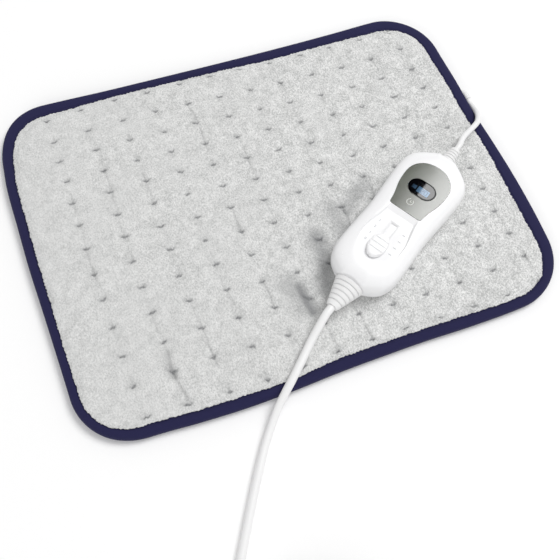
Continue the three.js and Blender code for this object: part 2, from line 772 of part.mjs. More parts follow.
// Slider: knob with a stem through the panel, a skirt under the slot, and a fork on the switch lever
const stemRear = knobPlace - stemLength / 2;
const stemFront = knobPlace + stemLength / 2;
const slotRear = stemRear - seatGap;
const slotFront = stemFront + travel + seatGap;
const slotWidth = stemWidth + 2 * seatGap;
const knobBase = panelFloor + seatGap;
const skirtTop = panelFloor - panelThickness - seatGap;
const skirtBase = skirtTop - skirtThickness;
const skirtRear = slotRear - travel - skirtLap;
const skirtFront = slotFront + skirtLap;
const forkTop = skirtBase - seatGap;
const switchHeight = (forkTop - seatGap - componentBase) * switchHeightShare;
const switchChannelDepth = switchHeight * channelDepthShare;
const switchTop = componentBase + switchHeight;
const forkBase = switchTop + seatGap;
const knobShares = [[1, 0], [1, 0.62], [0.93, 0.88], [0.78, 1]];
const knobRings = knobShares.map(([size, height]) => Array.from({ length: 24 }, (_, i) => {
  const angle = (i / 24) * 2 * Math.PI;
  return new THREE.Vector3(
    knobPlace + size * Math.cos(angle) * knobLength / 2,
    size * Math.sin(angle) * knobWidth / 2,
    knobBase + height * knobHeight,
  );
}));
let knob = solid(stackRings(knobRings));
const groove = [gripWidth, knobWidth + overrun, gripDepth + overrun];
const grooveBase = knobBase + knobHeight - gripDepth;
for (let grip = -1; grip <= 1; grip++) {
  knob = knob.subtract(solid(block(groove, knobPlace + grip * gripPitch, 0, grooveBase)));
}
const stem = block([stemLength, stemWidth, knobBase + overrun - skirtBase], knobPlace, 0, skirtBase);
add(controller, 'slider_knob', knob.add(solid(stem)), whiteShell);
const skirtSize = [skirtFront - skirtRear, skirtWidth, skirtThickness];
const stemHoleSize = [stemLength + 2 * seatGap, slotWidth, skirtThickness + 2 * overrun];
add(controller, 'slider_skirt', solid(block(skirtSize, (skirtRear + skirtFront) / 2, 0, skirtBase))
  .subtract(solid(block(stemHoleSize, knobPlace, 0, skirtBase - overrun))), whiteShell);
const forkSize = [stemLength, stemWidth, forkTop - forkBase];
const leverHole = [leverSide + 2 * seatGap, leverSide + 2 * seatGap, forkTop - forkBase + 2 * overrun];
add(controller, 'switch_fork', solid(block(forkSize, knobPlace, 0, forkBase))
  .subtract(solid(block(leverHole, knobPlace, 0, forkBase - overrun))), blackPart);
const leverBase = switchTop - switchChannelDepth + seatGap;
const leverSize = [leverSide, leverSide, forkTop - leverBase];
add(controller, 'switch_lever', block(leverSize, knobPlace, 0, leverBase), steel);

// Switch body on the board, with the channel that its lever slides in
const channelLength = travel + leverSide + 2 * seatGap;
const switchX = knobPlace + travel / 2;
const switchBlock = [channelLength + 2 * switchWall, switchWidth, switchHeight];
const channelBlock = [channelLength, leverSide + 2 * seatGap, switchChannelDepth + overrun];
add(controller, 'slide_switch', solid(block(switchBlock, switchX, 0, componentBase))
  .subtract(solid(block(channelBlock, switchX, 0, switchTop - switchChannelDepth))), blackPart);

// Upper shell: seats for the inlay, the window and the sunk panel, a slot, and bosses for the screws
const slopeShare = (panelDepth + overrun) / panelDepth;
const panelMouth = { ...panel, flat: panelFlatPlace + panelSlopeRun * slopeShare };
const atHeight = (outline, height) => outline.map(({ x, y }) => new THREE.Vector3(x, y, height));
const panelCut = solid(stackRings([
  atHeight(shield(panel), panelFloor),
  atHeight(shield(panelMouth, panelDraft * slopeShare), bodyHeight + overrun),
]));
const panelBacking = plate(shield(panel, wall), panelFloor - panelThickness, bodyHeight - ceiling + seatGap);
const inlaySeat = plate(shield(inlay, seatGap), inlayBase - seatGap, bodyHeight + overrun);
const slotSize = [slotFront - slotRear, slotWidth, panelDepth + panelThickness];
const slot = block(slotSize, (slotRear + slotFront) / 2, 0, skirtTop);
const bossTop = bodyHeight - ceiling / 2;
let upperShell = joinInside(upperOuter.subtract(upperCavity), upperOuter, panelBacking);
screwPlaces.forEach(([x, y]) => {
  upperShell = joinInside(upperShell, upperOuter, post(screwPostRadius, x, y, upperBase, bossTop));
});
screwPlaces.forEach(([x, y]) => {
  upperShell = upperShell.subtract(solid(
    post(screwShaftRadius + seatGap, x, y, upperBase - overrun, screwTip + seatGap, 10),
  ));
});
add(controller, 'upper_housing', upperShell
  .subtract(panelCut)
  .subtract(solid(inlaySeat))
  .subtract(windowHole)
  .subtract(solid(slot))
  .subtract(neckHoles), whiteShell);

// Screws: a cross-head underneath each post, and two on the board
function screw(headRadius, headHeight, shaftRadius, length) {
  const profile = [[0, 0], [headRadius, 0], [headRadius, headHeight], [shaftRadius, headHeight]];
  profile.push([shaftRadius, headHeight + length], [0, headHeight + length]);
  const turned = new THREE.LatheGeometry(profile.map(([r, y]) => new THREE.Vector2(r, y)), 8);
  let body = solid(turned.rotateX(Math.PI / 2));
  for (const size of [[crossLength, crossWidth], [crossWidth, crossLength]]) {
    body = body.subtract(solid(block([...size, crossDepth + overrun], 0, 0, -overrun)));
  }
  return body;
}
screwPlaces.forEach(([x, y], i) => {
  const body = screw(screwHeadRadius, screwHeadHeight, screwShaftRadius, screwLength);
  add(controller, `housing_screw_${i + 1}`, geometryOf(body).translate(x, y, screwHeadRecess), steel);
});
const boardScrewTop = componentBase + boardScrewHeadHeight;
boardScrewPlaces.forEach(([x, y], i) => {
  const body = screw(boardScrewHeadRadius, boardScrewHeadHeight, boardScrewShaftRadius, boardScrewLength);
  const turned = geometryOf(body).rotateX(Math.PI);
  add(controller, `board_screw_${i + 1}`, turned.translate(x, y, boardScrewTop), steel);
});

// Board, with holes for its screws
let board = solid(block([2 * boardHalfLength, 2 * boardHalfWidth, boardThickness], 0, 0, boardBase));
boardScrewHoles.forEach((hole) => {
  board = board.subtract(hole);
});
add(controller, 'circuit_board', board, boardGreen);

// Components: places and footprints as shares of the board, and heights of the room under the panel
const componentRoom = panelFloor - wall - componentBase;
const blockShares = {
  relay: [[0.1, -0.62], [0.376, 0.572, 0.86], blackPart],
  power_capacitor: [[0.08, 0.64], [0.356, 0.428, 0.92], bluePart],
  triac: [[0.54, -0.7], [0.089, 0.476, 0.7], blackPart],
  mains_terminal: [[-0.91, 0], [0.138, 0.81, 0.63], cream],
  pad_terminal: [[0.91, 0], [0.118, 0.666, 0.63], cream],
};
Object.entries(blockShares).forEach(([name, [place, [length, width, height], material]]) => {
  const size = [...onBoard([length, width]), height * componentRoom];
  add(controller, name, block(size, ...onBoard(place), componentBase), material);
});
const smoothingShares = { place: [-0.6, 0.62], height: 0.86 };
const smoothingTop = componentBase + smoothingShares.height * componentRoom;
const smoothingPlace = onBoard(smoothingShares.place);
add(controller, 'smoothing_capacitor', post(
  smoothingCapacitorRadius, ...smoothingPlace, componentBase, smoothingTop, 12,
), bluePart);
const fuseShares = { place: [-0.55, -0.6], length: 0.396 };
const fuseLength = fuseShares.length * boardHalfLength;
add(controller, 'fuse', new THREE.CylinderGeometry(fuseRadius, fuseRadius, fuseLength, 12)
  .rotateZ(Math.PI / 2).translate(...onBoard(fuseShares.place), componentBase + fuseRadius), cream);

// Cord tails inside the shells, each held by a clamp that stands on the floor of the lower shell
function tailAndClamp(name, size, end, diameter) {
  const from = bodyLength / 2 - size.inner - seatGap;
  const tail = new THREE.CylinderGeometry(diameter / 2, diameter / 2, tailLength, 12).rotateZ(Math.PI / 2);
  const clampX = end * (from - tailLength / 2);
  add(controller, `${name}_tail`, tail.translate(clampX, 0, bootAxisHeight), whiteCord);
  const bore = new THREE.CylinderGeometry(diameter / 2 + seatGap, diameter / 2 + seatGap, tailLength, 12);
  const clampBase = wall + seatGap;
  const clampTop = THREE.MathUtils.lerp(bootAxisHeight + diameter / 2 + seatGap, skirtBase, clampTopShare);
  const clampSize = [clampLength, diameter + 2 * clampSide, clampTop - clampBase];
  const clamp = solid(block(clampSize, clampX, 0, clampBase));
  add(controller, `${name}_cord_clamp`, clamp.subtract(solid(
    bore.rotateZ(Math.PI / 2).translate(clampX, 0, bootAxisHeight),
  )), blackPart);
}
tailAndClamp('mains', mainsBoot, -1, mainsCordDiameter);
tailAndClamp('pad', padBoot, 1, padLeadDiameter);

// Points outside the controller, given along its axis
const controllerAxis = new THREE.Vector3(Math.cos(controllerTurn), Math.sin(controllerTurn), 0);
function onAxis(distance) {
  const place = new THREE.Vector3(controllerX, controllerY, controllerBase + bootAxisHeight);
  return place.addScaledVector(controllerAxis, distance).toArray();
}
const mainsExit = bodyLength / 2 + mainsBoot.length + seatGap;
const padExit = bodyLength / 2 + padBoot.length + seatGap;

// Coil: spirals in on the floor, climbs where it turns back, and spirals out on top
const coilHeight = mainsCordDiameter / 2 + floorGap;
const coilPitch = mainsCordDiameter + coilGap;
function coilPoint(turn) {
  const radius = coilRadius - coilPitch * Math.min(turn, coilTurns - turn);
  const angle = coilStart + turn * 2 * Math.PI;
  const climb = THREE.MathUtils.clamp((turn - coilTurns / 2) * 2 + 0.5, 0, 1);
  return new THREE.Vector3(
    coilX + radius * Math.cos(angle),
    coilY + radius * Math.sin(angle),
    coilHeight + climb * coilPitch,
  );
}
const stepsPerTurn = 24;
const coilSteps = Math.round(coilTurns * stepsPerTurn);
const coilRoute = Array.from({ length: coilSteps + 1 }, (_, i) => coilPoint((i / coilSteps) * coilTurns));
const tangentAt = (turn) => {
  const angle = coilStart + turn * 2 * Math.PI;
  return new THREE.Vector3(-Math.sin(angle), Math.cos(angle), 0);
};
const coilIn = tangentAt(0);
const coilOut = tangentAt(coilTurns);
coilRoute.unshift(coilRoute[0].clone().addScaledVector(coilIn, -mainsCordDiameter));
coilRoute.push(coilRoute[coilRoute.length - 1].clone().addScaledVector(coilOut, mainsCordDiameter));
add(part, 'mains_coil', wire(coilRoute, mainsCordDiameter / 2, 6), whiteCord);
let leastGap = Infinity;
coilRoute.forEach((here, i) => {
  coilRoute.slice(i + stepsPerTurn / 2).forEach((there) => {
    leastGap = Math.min(leastGap, here.distanceTo(there) - mainsCordDiameter);
  });
});
console.log(`coil: least gap to itself ${leastGap.toFixed(2)} mm`);

// A stretch of a route, given from the pad's near right corner
const fromCorner = (points) => points.map(([x, y, z]) => [cornerX + x, cornerY + y, z]);

// Mains lead: out of the controller, down over the binding and on to the coil
const coilEntry = coilRoute[0].clone().addScaledVector(coilIn, -seatGap);
add(part, 'mains_lead', cord([
  onAxis(-mainsExit),
  onAxis(-mainsExit - mainsCordDiameter),
  ...fromCorner([
    [-213.6, 32.6, 20.2],
    [-222.6, 26.6, 17.2],
    [-231.5, 20.1, 15.8],
    [-239.2, 13.1, 15.2],
    [-247.4, 3.6, 14],
    [-254.7, -4.8, 11],
    [-262.4, -12.6, 7.4],
    [-270.2, -21.6, 4.5],
    [-277.8, -31, 3.7],
    [-292.4, -52.2, 3.4],
    [-306, -73.4, 3.3],
    [-322.6, -100.2, 3.3],
  ]),
  coilEntry.clone().addScaledVector(coilIn, -mainsCordDiameter).toArray(),
  coilEntry.toArray(),
], mainsCordDiameter, 12, 24), whiteCord);

// Plug: a flat two-pin body on the floor, with its boot and the short stretch from the coil
const plugAxisHeight = plugThickness / 2 + floorGap;
const coilExit = coilRoute[coilRoute.length - 1].clone().addScaledVector(coilOut, seatGap);
const plugBootX = coilExit.x + plugLeadReach;
const plugY = coilExit.y;
const plugX = plugBootX + plugBootLength + 2 * seatGap;
add(part, 'plug_lead', cord([
  coilExit.toArray(),
  [coilExit.x + mainsCordDiameter, plugY, coilExit.z],
  [coilExit.x + plugLeadReach / 2, plugY, (coilExit.z + plugAxisHeight) / 2],
  [plugBootX - mainsCordDiameter, plugY, plugAxisHeight],
  [plugBootX, plugY, plugAxisHeight],
], mainsCordDiameter, 12, 5), whiteCord);
const plugBootShares = [
  [1, 0], [1, 0.18], [0.72, 0.24], [0.72, 0.34], [0.62, 0.4], [0.62, 0.5],
  [0.45, 0.56], [0.45, 0.66], [0.3, 0.72], [0.3, 0.82], [0.1, 0.88], [0, 1],
];
const plugBootProfile = plugBootShares.map(([radius, along]) => new THREE.Vector2(
  THREE.MathUtils.lerp(plugBootTip, plugBootRadius, radius),
  along * plugBootLength,
));
const plugBoot = new THREE.LatheGeometry([
  new THREE.Vector2(0, 0), ...plugBootProfile, new THREE.Vector2(0, plugBootLength),
], 12);
add(part, 'plug_boot', plugBoot.rotateZ(Math.PI / 2)
  .translate(plugX - seatGap, plugY, plugAxisHeight), whiteCord);
const plugShares = [[0, 0], [0.08, 0.16], [0.2, 0.36], [0.5, 0.86], [0.62, 0.98], [0.7, 1], [1, 1]];
const plugHalf = plugShares.map(([along, across]) => new THREE.Vector2(
  plugX + along * plugLength,
  THREE.MathUtils.lerp(plugTailHalfWidth, plugHalfWidth, across),
));
const plugOutline = [
  ...plugHalf.map(({ x, y }) => new THREE.Vector2(x, plugY + y)),
  ...plugHalf.map(({ x, y }) => new THREE.Vector2(x, plugY - y)).reverse(),
];
add(part, 'plug_body', plate(plugOutline, floorGap, floorGap + plugThickness), whiteCord);
[-1, 1].forEach((side, i) => {
  const pin = new THREE.CylinderGeometry(pinRadius, pinRadius, pinLength, 12).rotateZ(Math.PI / 2);
  const pinX = plugX + plugLength + seatGap + pinLength / 2;
  add(part, `plug_pin_${i + 1}`, pin.translate(pinX, plugY + side * pinSpacing / 2, plugAxisHeight), steel);
});

// Pad lead: out of the controller, over the binding and along the edge into its sleeve
add(part, 'pad_lead', cord([
  onAxis(padExit),
  onAxis(padExit + padLeadDiameter),
  ...fromCorner([
    [-28.4, 151.9, 18.2],
    [-19, 157.6, 15.4],
    [-11.6, 161.7, 13.8],
    [-6, 165.4, 12.4],
    [-2, 170, 11.2],
    [1, 175.6, 9.6],
    [2.8, 181, 7.2],
    [3.6, 186.6, 5],
  ]),
  [glandX, leadEntryPlace - glandBendRadius - glandStraight - seatGap - padLeadDiameter, glandHeight],
  [glandX, leadEntryPlace - glandBendRadius - glandStraight - seatGap, glandHeight],
], padLeadDiameter, 8, 14), whiteCord);

export default part;
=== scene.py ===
import math

import bpy
import numpy as np
from mathutils import Matrix, Vector


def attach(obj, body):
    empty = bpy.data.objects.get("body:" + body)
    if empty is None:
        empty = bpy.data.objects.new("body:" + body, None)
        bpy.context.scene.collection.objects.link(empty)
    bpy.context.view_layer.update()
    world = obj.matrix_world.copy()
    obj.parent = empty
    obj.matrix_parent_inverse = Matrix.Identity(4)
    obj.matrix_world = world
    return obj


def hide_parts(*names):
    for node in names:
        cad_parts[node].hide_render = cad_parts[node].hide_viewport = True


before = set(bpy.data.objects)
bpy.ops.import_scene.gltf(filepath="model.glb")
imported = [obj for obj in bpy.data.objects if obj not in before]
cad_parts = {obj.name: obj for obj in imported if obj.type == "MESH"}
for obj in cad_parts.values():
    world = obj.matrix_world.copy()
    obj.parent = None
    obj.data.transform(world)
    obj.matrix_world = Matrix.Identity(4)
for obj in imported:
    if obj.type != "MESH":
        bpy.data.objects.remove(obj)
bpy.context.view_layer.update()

# Room. A pale floor that turns plain white away from the pad, a large soft lamp high to the right with a
# dark card along its edge, a weaker lamp from the near left, and even light all round. The camera looks
# down on the pad from its near left corner, as in the photograph.
MM = 0.001
scene = bpy.context.scene
scene.view_settings.view_transform = "Standard"
bpy.ops.object.select_all(action="DESELECT")


def turned_at(place, right, up, back):
    """The place and turn of a camera or lamp, from the ways its right, its top and its back point."""
    return Matrix.Translation(place) @ Matrix((right, up, back)).transposed().to_4x4()


CAMERA_PLACE = (-0.15921, -0.29272, 0.57111)
CAMERA_RIGHT = (0.92868, -0.36230, 0.07925)
CAMERA_UP = (0.29941, 0.85852, 0.41629)
CAMERA_BACK = (-0.21886, -0.36287, 0.90577)
camera_data = bpy.data.cameras.new("camera")
camera_data.lens = 51.16
camera_data.sensor_width = 36
camera_data.clip_start = 0.01
camera = bpy.data.objects.new("camera", camera_data)
scene.collection.objects.link(camera)
camera.matrix_world = turned_at(CAMERA_PLACE, CAMERA_RIGHT, CAMERA_UP, CAMERA_BACK)
scene.camera = camera


def soft_lamp(name, place, target, along, size, power):
    """A square area lamp at a place, facing a target, with two of its edges along a direction."""
    data = bpy.data.lights.new(name, "AREA")
    data.size = size
    data.energy = power
    lamp = bpy.data.objects.new(name, data)
    back = (Vector(place) - Vector(target)).normalized()
    side = (Vector(along) - back * back.dot(Vector(along))).normalized()
    lamp.matrix_world = turned_at(place, side, back.cross(side), back)
    scene.collection.objects.link(lamp)
    return lamp


KEY_PLACE = (1.99, 0.555, 3.033)
KEY_TARGET = (-0.212, 0.024, -0.072)
KEY_EDGE = (-0.730, -0.364, 0.579)
KEY_SIZE = 1.86
KEY_POWER = 78
FILL_PLACE = (-1.9, -1.9, 0.95)
FILL_SIZE = 1.4
FILL_POWER = 20
key_lamp = soft_lamp("key", KEY_PLACE, KEY_TARGET, KEY_EDGE, KEY_SIZE, KEY_POWER)
soft_lamp("fill", FILL_PLACE, (0, 0, 0), (1, 0, 0), FILL_SIZE, FILL_POWER)


def new_finish(name, **values):
    """A new material with plain values on its shader's sockets; gives it, its nodes and its shader."""
    made = bpy.data.materials.new(name)
    made.use_nodes = True
    shader = made.node_tree.nodes["Principled BSDF"]
    for socket, value in values.items():
        shader.inputs[socket.replace("_", " ")].default_value = value
    return made, made.node_tree, shader


CARD_WIDTH = 1.6
CARD_LENGTH = 3.2
bpy.ops.mesh.primitive_plane_add(size=1)
card = bpy.context.object
card.name = "dark_card"
beside_key = Matrix.Translation((0, -(KEY_SIZE + CARD_WIDTH) / 2, 0))
card_shape = beside_key @ Matrix.Diagonal((CARD_LENGTH, CARD_WIDTH, 1, 1))
card.data.transform(key_lamp.matrix_world @ card_shape)
card_finish, _, _ = new_finish("dark card", Base_Color=(0.004, 0.004, 0.004, 1), Specular_IOR_Level=0)
card.data.materials.append(card_finish)
card.visible_camera = card.visible_diffuse = card.visible_shadow = card.visible_transmission = False


def linear(red, green, blue):
    """A colour on the 0 to 255 screen scale as the shader's linear values."""
    def value(level):
        share = level / 255
        return share / 12.92 if share <= 0.04045 else ((share + 0.055) / 1.055) ** 2.4
    return value(red), value(green), value(blue), 1


def feed(tree, socket, value):
    """Gives a socket another node's output or a plain value."""
    if isinstance(value, bpy.types.NodeSocket):
        tree.links.new(value, socket)
    else:
        socket.default_value = value


def add_node(tree, kind, settings=None, **values):
    """A shader node with its settings, its named sockets fed by other nodes or by plain values."""
    made = tree.nodes.new("ShaderNode" + kind)
    for name, value in (settings or {}).items():
        setattr(made, name, value)
    for name, value in values.items():
        feed(tree, made.inputs[name.replace("_", " ")], value)
    return made


def worked_out(tree, operation, *values, kind="Math"):
    """The output of a node that does one operation on values or on other nodes' outputs."""
    made = add_node(tree, kind, {"operation": operation})
    for socket, value in zip(made.inputs, values):
        feed(tree, socket, value)
    return made.outputs[0]


AMBIENT = 0.51
world = bpy.data.worlds.new("studio")
scene.world = world
world.use_nodes = True
air = world.node_tree
rays = add_node(air, "LightPath").outputs
seen = worked_out(air, "MAXIMUM", rays["Is Camera Ray"], rays["Is Glossy Ray"])
seen_or_through = worked_out(air, "MAXIMUM", seen, rays["Is Transmission Ray"])
level = add_node(air, "MapRange", Value=seen_or_through, To_Min=AMBIENT, To_Max=1)
feed(air, air.nodes["Background"].inputs["Strength"], level.outputs["Result"])
feed(air, air.nodes["Background"].inputs["Color"], (1, 1, 1, 1))

FLOOR_SIZE = 8
FLOOR_DROP = 0.00005
SHADOW_REACH = 0.3
WHITE_REACH = 1.3
LEAST_WHITE = 0.05
bpy.ops.mesh.primitive_plane_add(size=FLOOR_SIZE, location=(0, 0, -FLOOR_DROP))
floor = bpy.context.object
floor.name = "floor"
floor_finish, tree, floor_paint = new_finish("floor", Base_Color=(0.99, 0.99, 0.99, 1), Roughness=0.9)
floor_place = add_node(tree, "TexCoord").outputs["Object"]
floor_away = add_node(tree, "VectorMath", {"operation": "LENGTH"}, Vector=floor_place)
floor_fade = add_node(
    tree, "MapRange", Value=floor_away.outputs["Value"], From_Min=SHADOW_REACH, From_Max=WHITE_REACH,
    To_Min=LEAST_WHITE)
floor_rays = add_node(tree, "LightPath").outputs
floor_seen = worked_out(tree, "MULTIPLY", floor_rays["Is Camera Ray"], floor_fade.outputs["Result"])
floor_white = add_node(tree, "Emission").outputs[0]
floor_mix = add_node(tree, "MixShader", Fac=floor_seen)
feed(tree, floor_mix.inputs[1], floor_paint.outputs[0])
feed(tree, floor_mix.inputs[2], floor_white)
feed(tree, tree.nodes["Material Output"].inputs["Surface"], floor_mix.outputs[0])
floor.data.materials.append(floor_finish)


# Cords. Round white flex: one leads from the controller over the binding to a tied coil and a plug,
# and a thinner one from the controller back over the binding into a sleeve in the pad's seam.
MAINS_DIAMETER = 6.4
PAD_LEAD_DIAMETER = 5
CONTROLLER_TURN = math.radians(32)
CONTROLLER_PLACE = Vector((82.7, -56.4, 11.9))
CONTROLLER_AXIS = Vector((math.cos(CONTROLLER_TURN), math.sin(CONTROLLER_TURN), 0))
BOOT_AXIS_HEIGHT = 11.15
MAINS_EXIT = -95.3
PAD_EXIT = 87.3
GLAND_PLACE = Vector((202.7, 44.7, 3.8))


def on_axis(distance):
    """A point on the line through both ends of the controller."""
    return CONTROLLER_PLACE + distance * CONTROLLER_AXIS + Vector((0, 0, BOOT_AXIS_HEIGHT))


def flex(name, route, diameter):
    """A cord as one smooth open curve through its route."""
    data = bpy.data.curves.new(name, "CURVE")
    data.dimensions = "3D"
    data.bevel_depth = diameter * MM / 2
    data.bevel_resolution = 6
    data.resolution_u = 5
    data.use_fill_caps = True
    spline = data.splines.new("BEZIER")
    spline.bezier_points.add(len(route) - 1)
    for knot, point in zip(spline.bezier_points, route):
        knot.co = Vector(point) * MM
        knot.handle_left_type = knot.handle_right_type = "AUTO"
    made = bpy.data.objects.new(name, data)
    scene.collection.objects.link(made)
    return made


COIL_PLACE = (-108.4, -329.5)
COIL_RADIUS = 53.5
COIL_PITCH = 7.1
COIL_START = math.radians(148.6)
COIL_TURNS = 6.337
COIL_STEPS_PER_TURN = 24
COIL_HEIGHT = 3.3
CLIMB_TURNS = 0.5
PLUG_LEAD_GAP = 0.3
PLUG_LEAD_REACH = 52
PLUG_AXIS_HEIGHT = 6.95


def coil_point(turn):
    """A point of the coil, which winds inwards on the floor and outwards on top of itself."""
    radius = COIL_RADIUS - COIL_PITCH * min(turn, COIL_TURNS - turn)
    angle = COIL_START + turn * 2 * math.pi
    climb = min(max((turn - COIL_TURNS / 2) / CLIMB_TURNS + 0.5, 0), 1)
    return Vector((
        COIL_PLACE[0] + radius * math.cos(angle),
        COIL_PLACE[1] + radius * math.sin(angle),
        COIL_HEIGHT + climb * COIL_PITCH,
    ))


def coil_heading(turn):
    """The way the cord runs at a place on the coil."""
    angle = COIL_START + turn * 2 * math.pi
    return Vector((-math.sin(angle), math.cos(angle), 0))


coil_steps = round(COIL_TURNS * COIL_STEPS_PER_TURN)
coil_route = [coil_point(i / coil_steps * COIL_TURNS) for i in range(coil_steps + 1)]
coil_end = coil_route[-1]
plug_boot_x = coil_end.x + MAINS_DIAMETER + PLUG_LEAD_GAP + PLUG_LEAD_REACH
mains_route = [
    on_axis(MAINS_EXIT), on_axis(MAINS_EXIT - MAINS_DIAMETER),
    (-12.9, -117.7, 20.2), (-20.7, -124.2, 17.2), (-28.2, -131.3, 15.8), (-35.6, -138.4, 15.2),
    (-45.4, -147.4, 14), (-54.3, -155.1, 11), (-62.4, -162.6, 7.4), (-70.2, -171.6, 4.5),
    (-77.8, -181, 3.7), (-92.4, -202.2, 3.4), (-106, -223.4, 3.3), (-122.6, -250.2, 3.3),
    coil_route[0] - 2 * MAINS_DIAMETER * coil_heading(0),
    coil_route[0] - MAINS_DIAMETER * coil_heading(0),
    *coil_route,
    coil_end + Vector((MAINS_DIAMETER, 0, 0)),
    coil_end + Vector((2 * MAINS_DIAMETER, 0, 0)),
    ((coil_end.x + MAINS_DIAMETER + plug_boot_x) / 2, coil_end.y, (coil_end.z + PLUG_AXIS_HEIGHT) / 2),
    (plug_boot_x - MAINS_DIAMETER, coil_end.y, PLUG_AXIS_HEIGHT),
    (plug_boot_x, coil_end.y, PLUG_AXIS_HEIGHT),
]
mains_cable = flex("mains_cable", mains_route, MAINS_DIAMETER)
pad_route = [
    on_axis(PAD_EXIT), on_axis(PAD_EXIT + PAD_LEAD_DIAMETER),
    (171.6, 1.9, 18.2), (181, 7.6, 15.4), (188.4, 11.7, 13.8), (194, 15.4, 12.4),
    (197.8, 20, 11.4), (200.4, 25.6, 9.9), (202, 31, 7.4), (202.6, 36.6, 5.1),
    GLAND_PLACE - Vector((0, PAD_LEAD_DIAMETER, 0)), GLAND_PLACE,
]
pad_cable = flex("pad_cable", pad_route, PAD_LEAD_DIAMETER)


def new_group(name, takes, gives):
    """A node group from the names and kinds of its sockets; gives it, what it is given and its results."""
    group = bpy.data.node_groups.new(name, "ShaderNodeTree")
    for in_out, sockets in (("INPUT", takes), ("OUTPUT", gives)):
        for socket, kind in sockets.items():
            group.interface.new_socket(socket, in_out=in_out, socket_type="NodeSocket" + kind)
    given = group.nodes.new("NodeGroupInput").outputs
    return group, given, group.nodes.new("NodeGroupOutput").inputs


def moulded_skin():
    """The skin of a moulded piece: a faint cloudiness of its colour, a fine grain and light scuffs."""
    group, given, result = new_group("moulded skin", {
        "Coordinates": "Vector", "Grain per Metre": "Float", "Cloudiness": "Float", "Roughness": "Float",
        "Spread": "Float", "Colour": "Color",
    }, {"Colour": "Color", "Roughness": "Float", "Height": "Float"})
    place = given["Coordinates"]
    grain = add_node(group, "TexNoise", Vector=place, Scale=given["Grain per Metre"], Detail=3)
    cloud = add_node(group, "TexNoise", Vector=place, Scale=45, Detail=4)
    scuff = add_node(group, "TexNoise", Vector=place, Scale=160, Detail=6)
    darkest = worked_out(group, "SUBTRACT", 1, given["Cloudiness"])
    tone = add_node(group, "MapRange", Value=cloud.outputs["Fac"], To_Min=darkest)
    shade = add_node(
        group, "VectorMath", {"operation": "SCALE"}, Vector=given["Colour"], Scale=tone.outputs["Result"])
    worn = worked_out(group, "MULTIPLY_ADD", scuff.outputs["Fac"], given["Spread"], given["Roughness"])
    feed(group, result["Colour"], shade.outputs[0])
    feed(group, result["Roughness"], worn)
    feed(group, result["Height"], grain.outputs["Fac"])
    return group


def raise_grain(tree, surface, shader, depth, strength=1.0):
    """Leads the height of a surface's pattern to the shader, as a bump of a depth."""
    bump = add_node(tree, "Bump", Height=surface.outputs["Height"], Distance=depth, Strength=strength)
    feed(tree, shader.inputs["Normal"], bump.outputs["Normal"])


MOULDED_SKIN = moulded_skin()


def moulded(name, colour, roughness, grain=1500, cloudiness=0.02, depth=0.00002, spread=0.06, **plain):
    """A moulded material with its own shader; plain values go straight to the shader's sockets."""
    made, tree, shader = new_finish(name, **plain)
    skin = add_node(
        tree, "Group", {"node_tree": MOULDED_SKIN}, Coordinates=add_node(tree, "TexCoord").outputs["Object"],
        Colour=linear(*colour), Grain_per_Metre=grain, Cloudiness=cloudiness, Roughness=roughness,
        Spread=spread)
    feed(tree, shader.inputs["Base Color"], skin.outputs["Colour"])
    feed(tree, shader.inputs["Roughness"], skin.outputs["Roughness"])
    raise_grain(tree, skin, shader, depth)
    return made


white_flex = moulded("white flex", (240, 240, 240), 0.36, grain=700, depth=0.00004)
cord_nodes = [(mains_cable, ("mains_lead", "mains_coil", "plug_lead")), (pad_cable, ("pad_lead",))]
for cable, standing in cord_nodes:
    cable.data.materials.append(white_flex)
    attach(cable, "pad")
    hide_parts(*standing)


# Boots. Each is a soft white sleeve moulded onto its cord, with bands between sunk rings that let it bend.
# It is spun from its profile and pressed a little flat, to fit the end of the controller.
def select_none():
    """Leaves edit mode and selects nothing."""
    if bpy.context.object and bpy.context.object.mode != "OBJECT":
        bpy.ops.object.mode_set(mode="OBJECT")
    bpy.ops.object.select_all(action="DESELECT")


def pick(piece):
    """Selects one piece alone and makes it the active one."""
    select_none()
    bpy.context.view_layer.objects.active = piece
    piece.select_set(True)


def new_piece(name, points, edges, faces):
    """A new piece from its points, edges and faces, picked."""
    mesh = bpy.data.meshes.new(name)
    mesh.from_pydata(points, edges, faces)
    made = bpy.data.objects.new(name, mesh)
    scene.collection.objects.link(made)
    pick(made)
    return made


def face_outwards():
    """Points the faces of the picked piece outwards."""
    bpy.ops.object.mode_set(mode="EDIT")
    bpy.ops.mesh.select_all(action="SELECT")
    bpy.ops.mesh.normals_make_consistent(inside=False)
    bpy.ops.object.mode_set(mode="OBJECT")


def through(points, steps):
    """Points along a smooth curve through the given ones, a number of steps to each stretch."""
    points = np.array(points, float)
    padded = np.vstack([2 * points[0] - points[1], points, 2 * points[-1] - points[-2]])
    found = []
    for i in range(1, len(padded) - 2):
        a, b, c, d = padded[i - 1:i + 3]
        for step in range(steps):
            t = step / steps
            found.append(0.5 * (2 * b + (c - a) * t + (2 * a - 5 * b + 4 * c - d) * t ** 2
                                + (3 * b - a - 3 * c + d) * t ** 3))
    return np.array([*found, points[-1]])


def spun(name, profile, sides=48):
    """A round piece along +X, spun from a profile of (place along X, radius)."""
    edges = [(i, i + 1) for i in range(len(profile) - 1)]
    made = new_piece(name, [(x, 0, r) for x, r in profile], edges, [])
    bpy.ops.object.mode_set(mode="EDIT")
    bpy.ops.mesh.select_all(action="SELECT")
    bpy.ops.mesh.spin(steps=sides, angle=2 * math.pi, center=(0, 0, 0), axis=(1, 0, 0))
    bpy.ops.mesh.select_all(action="SELECT")
    bpy.ops.mesh.remove_doubles(threshold=0.0005)
    bpy.ops.mesh.normals_make_consistent(inside=False)
    bpy.ops.object.mode_set(mode="OBJECT")
    bpy.ops.object.shade_smooth_by_angle(angle=math.radians(40))
    return made


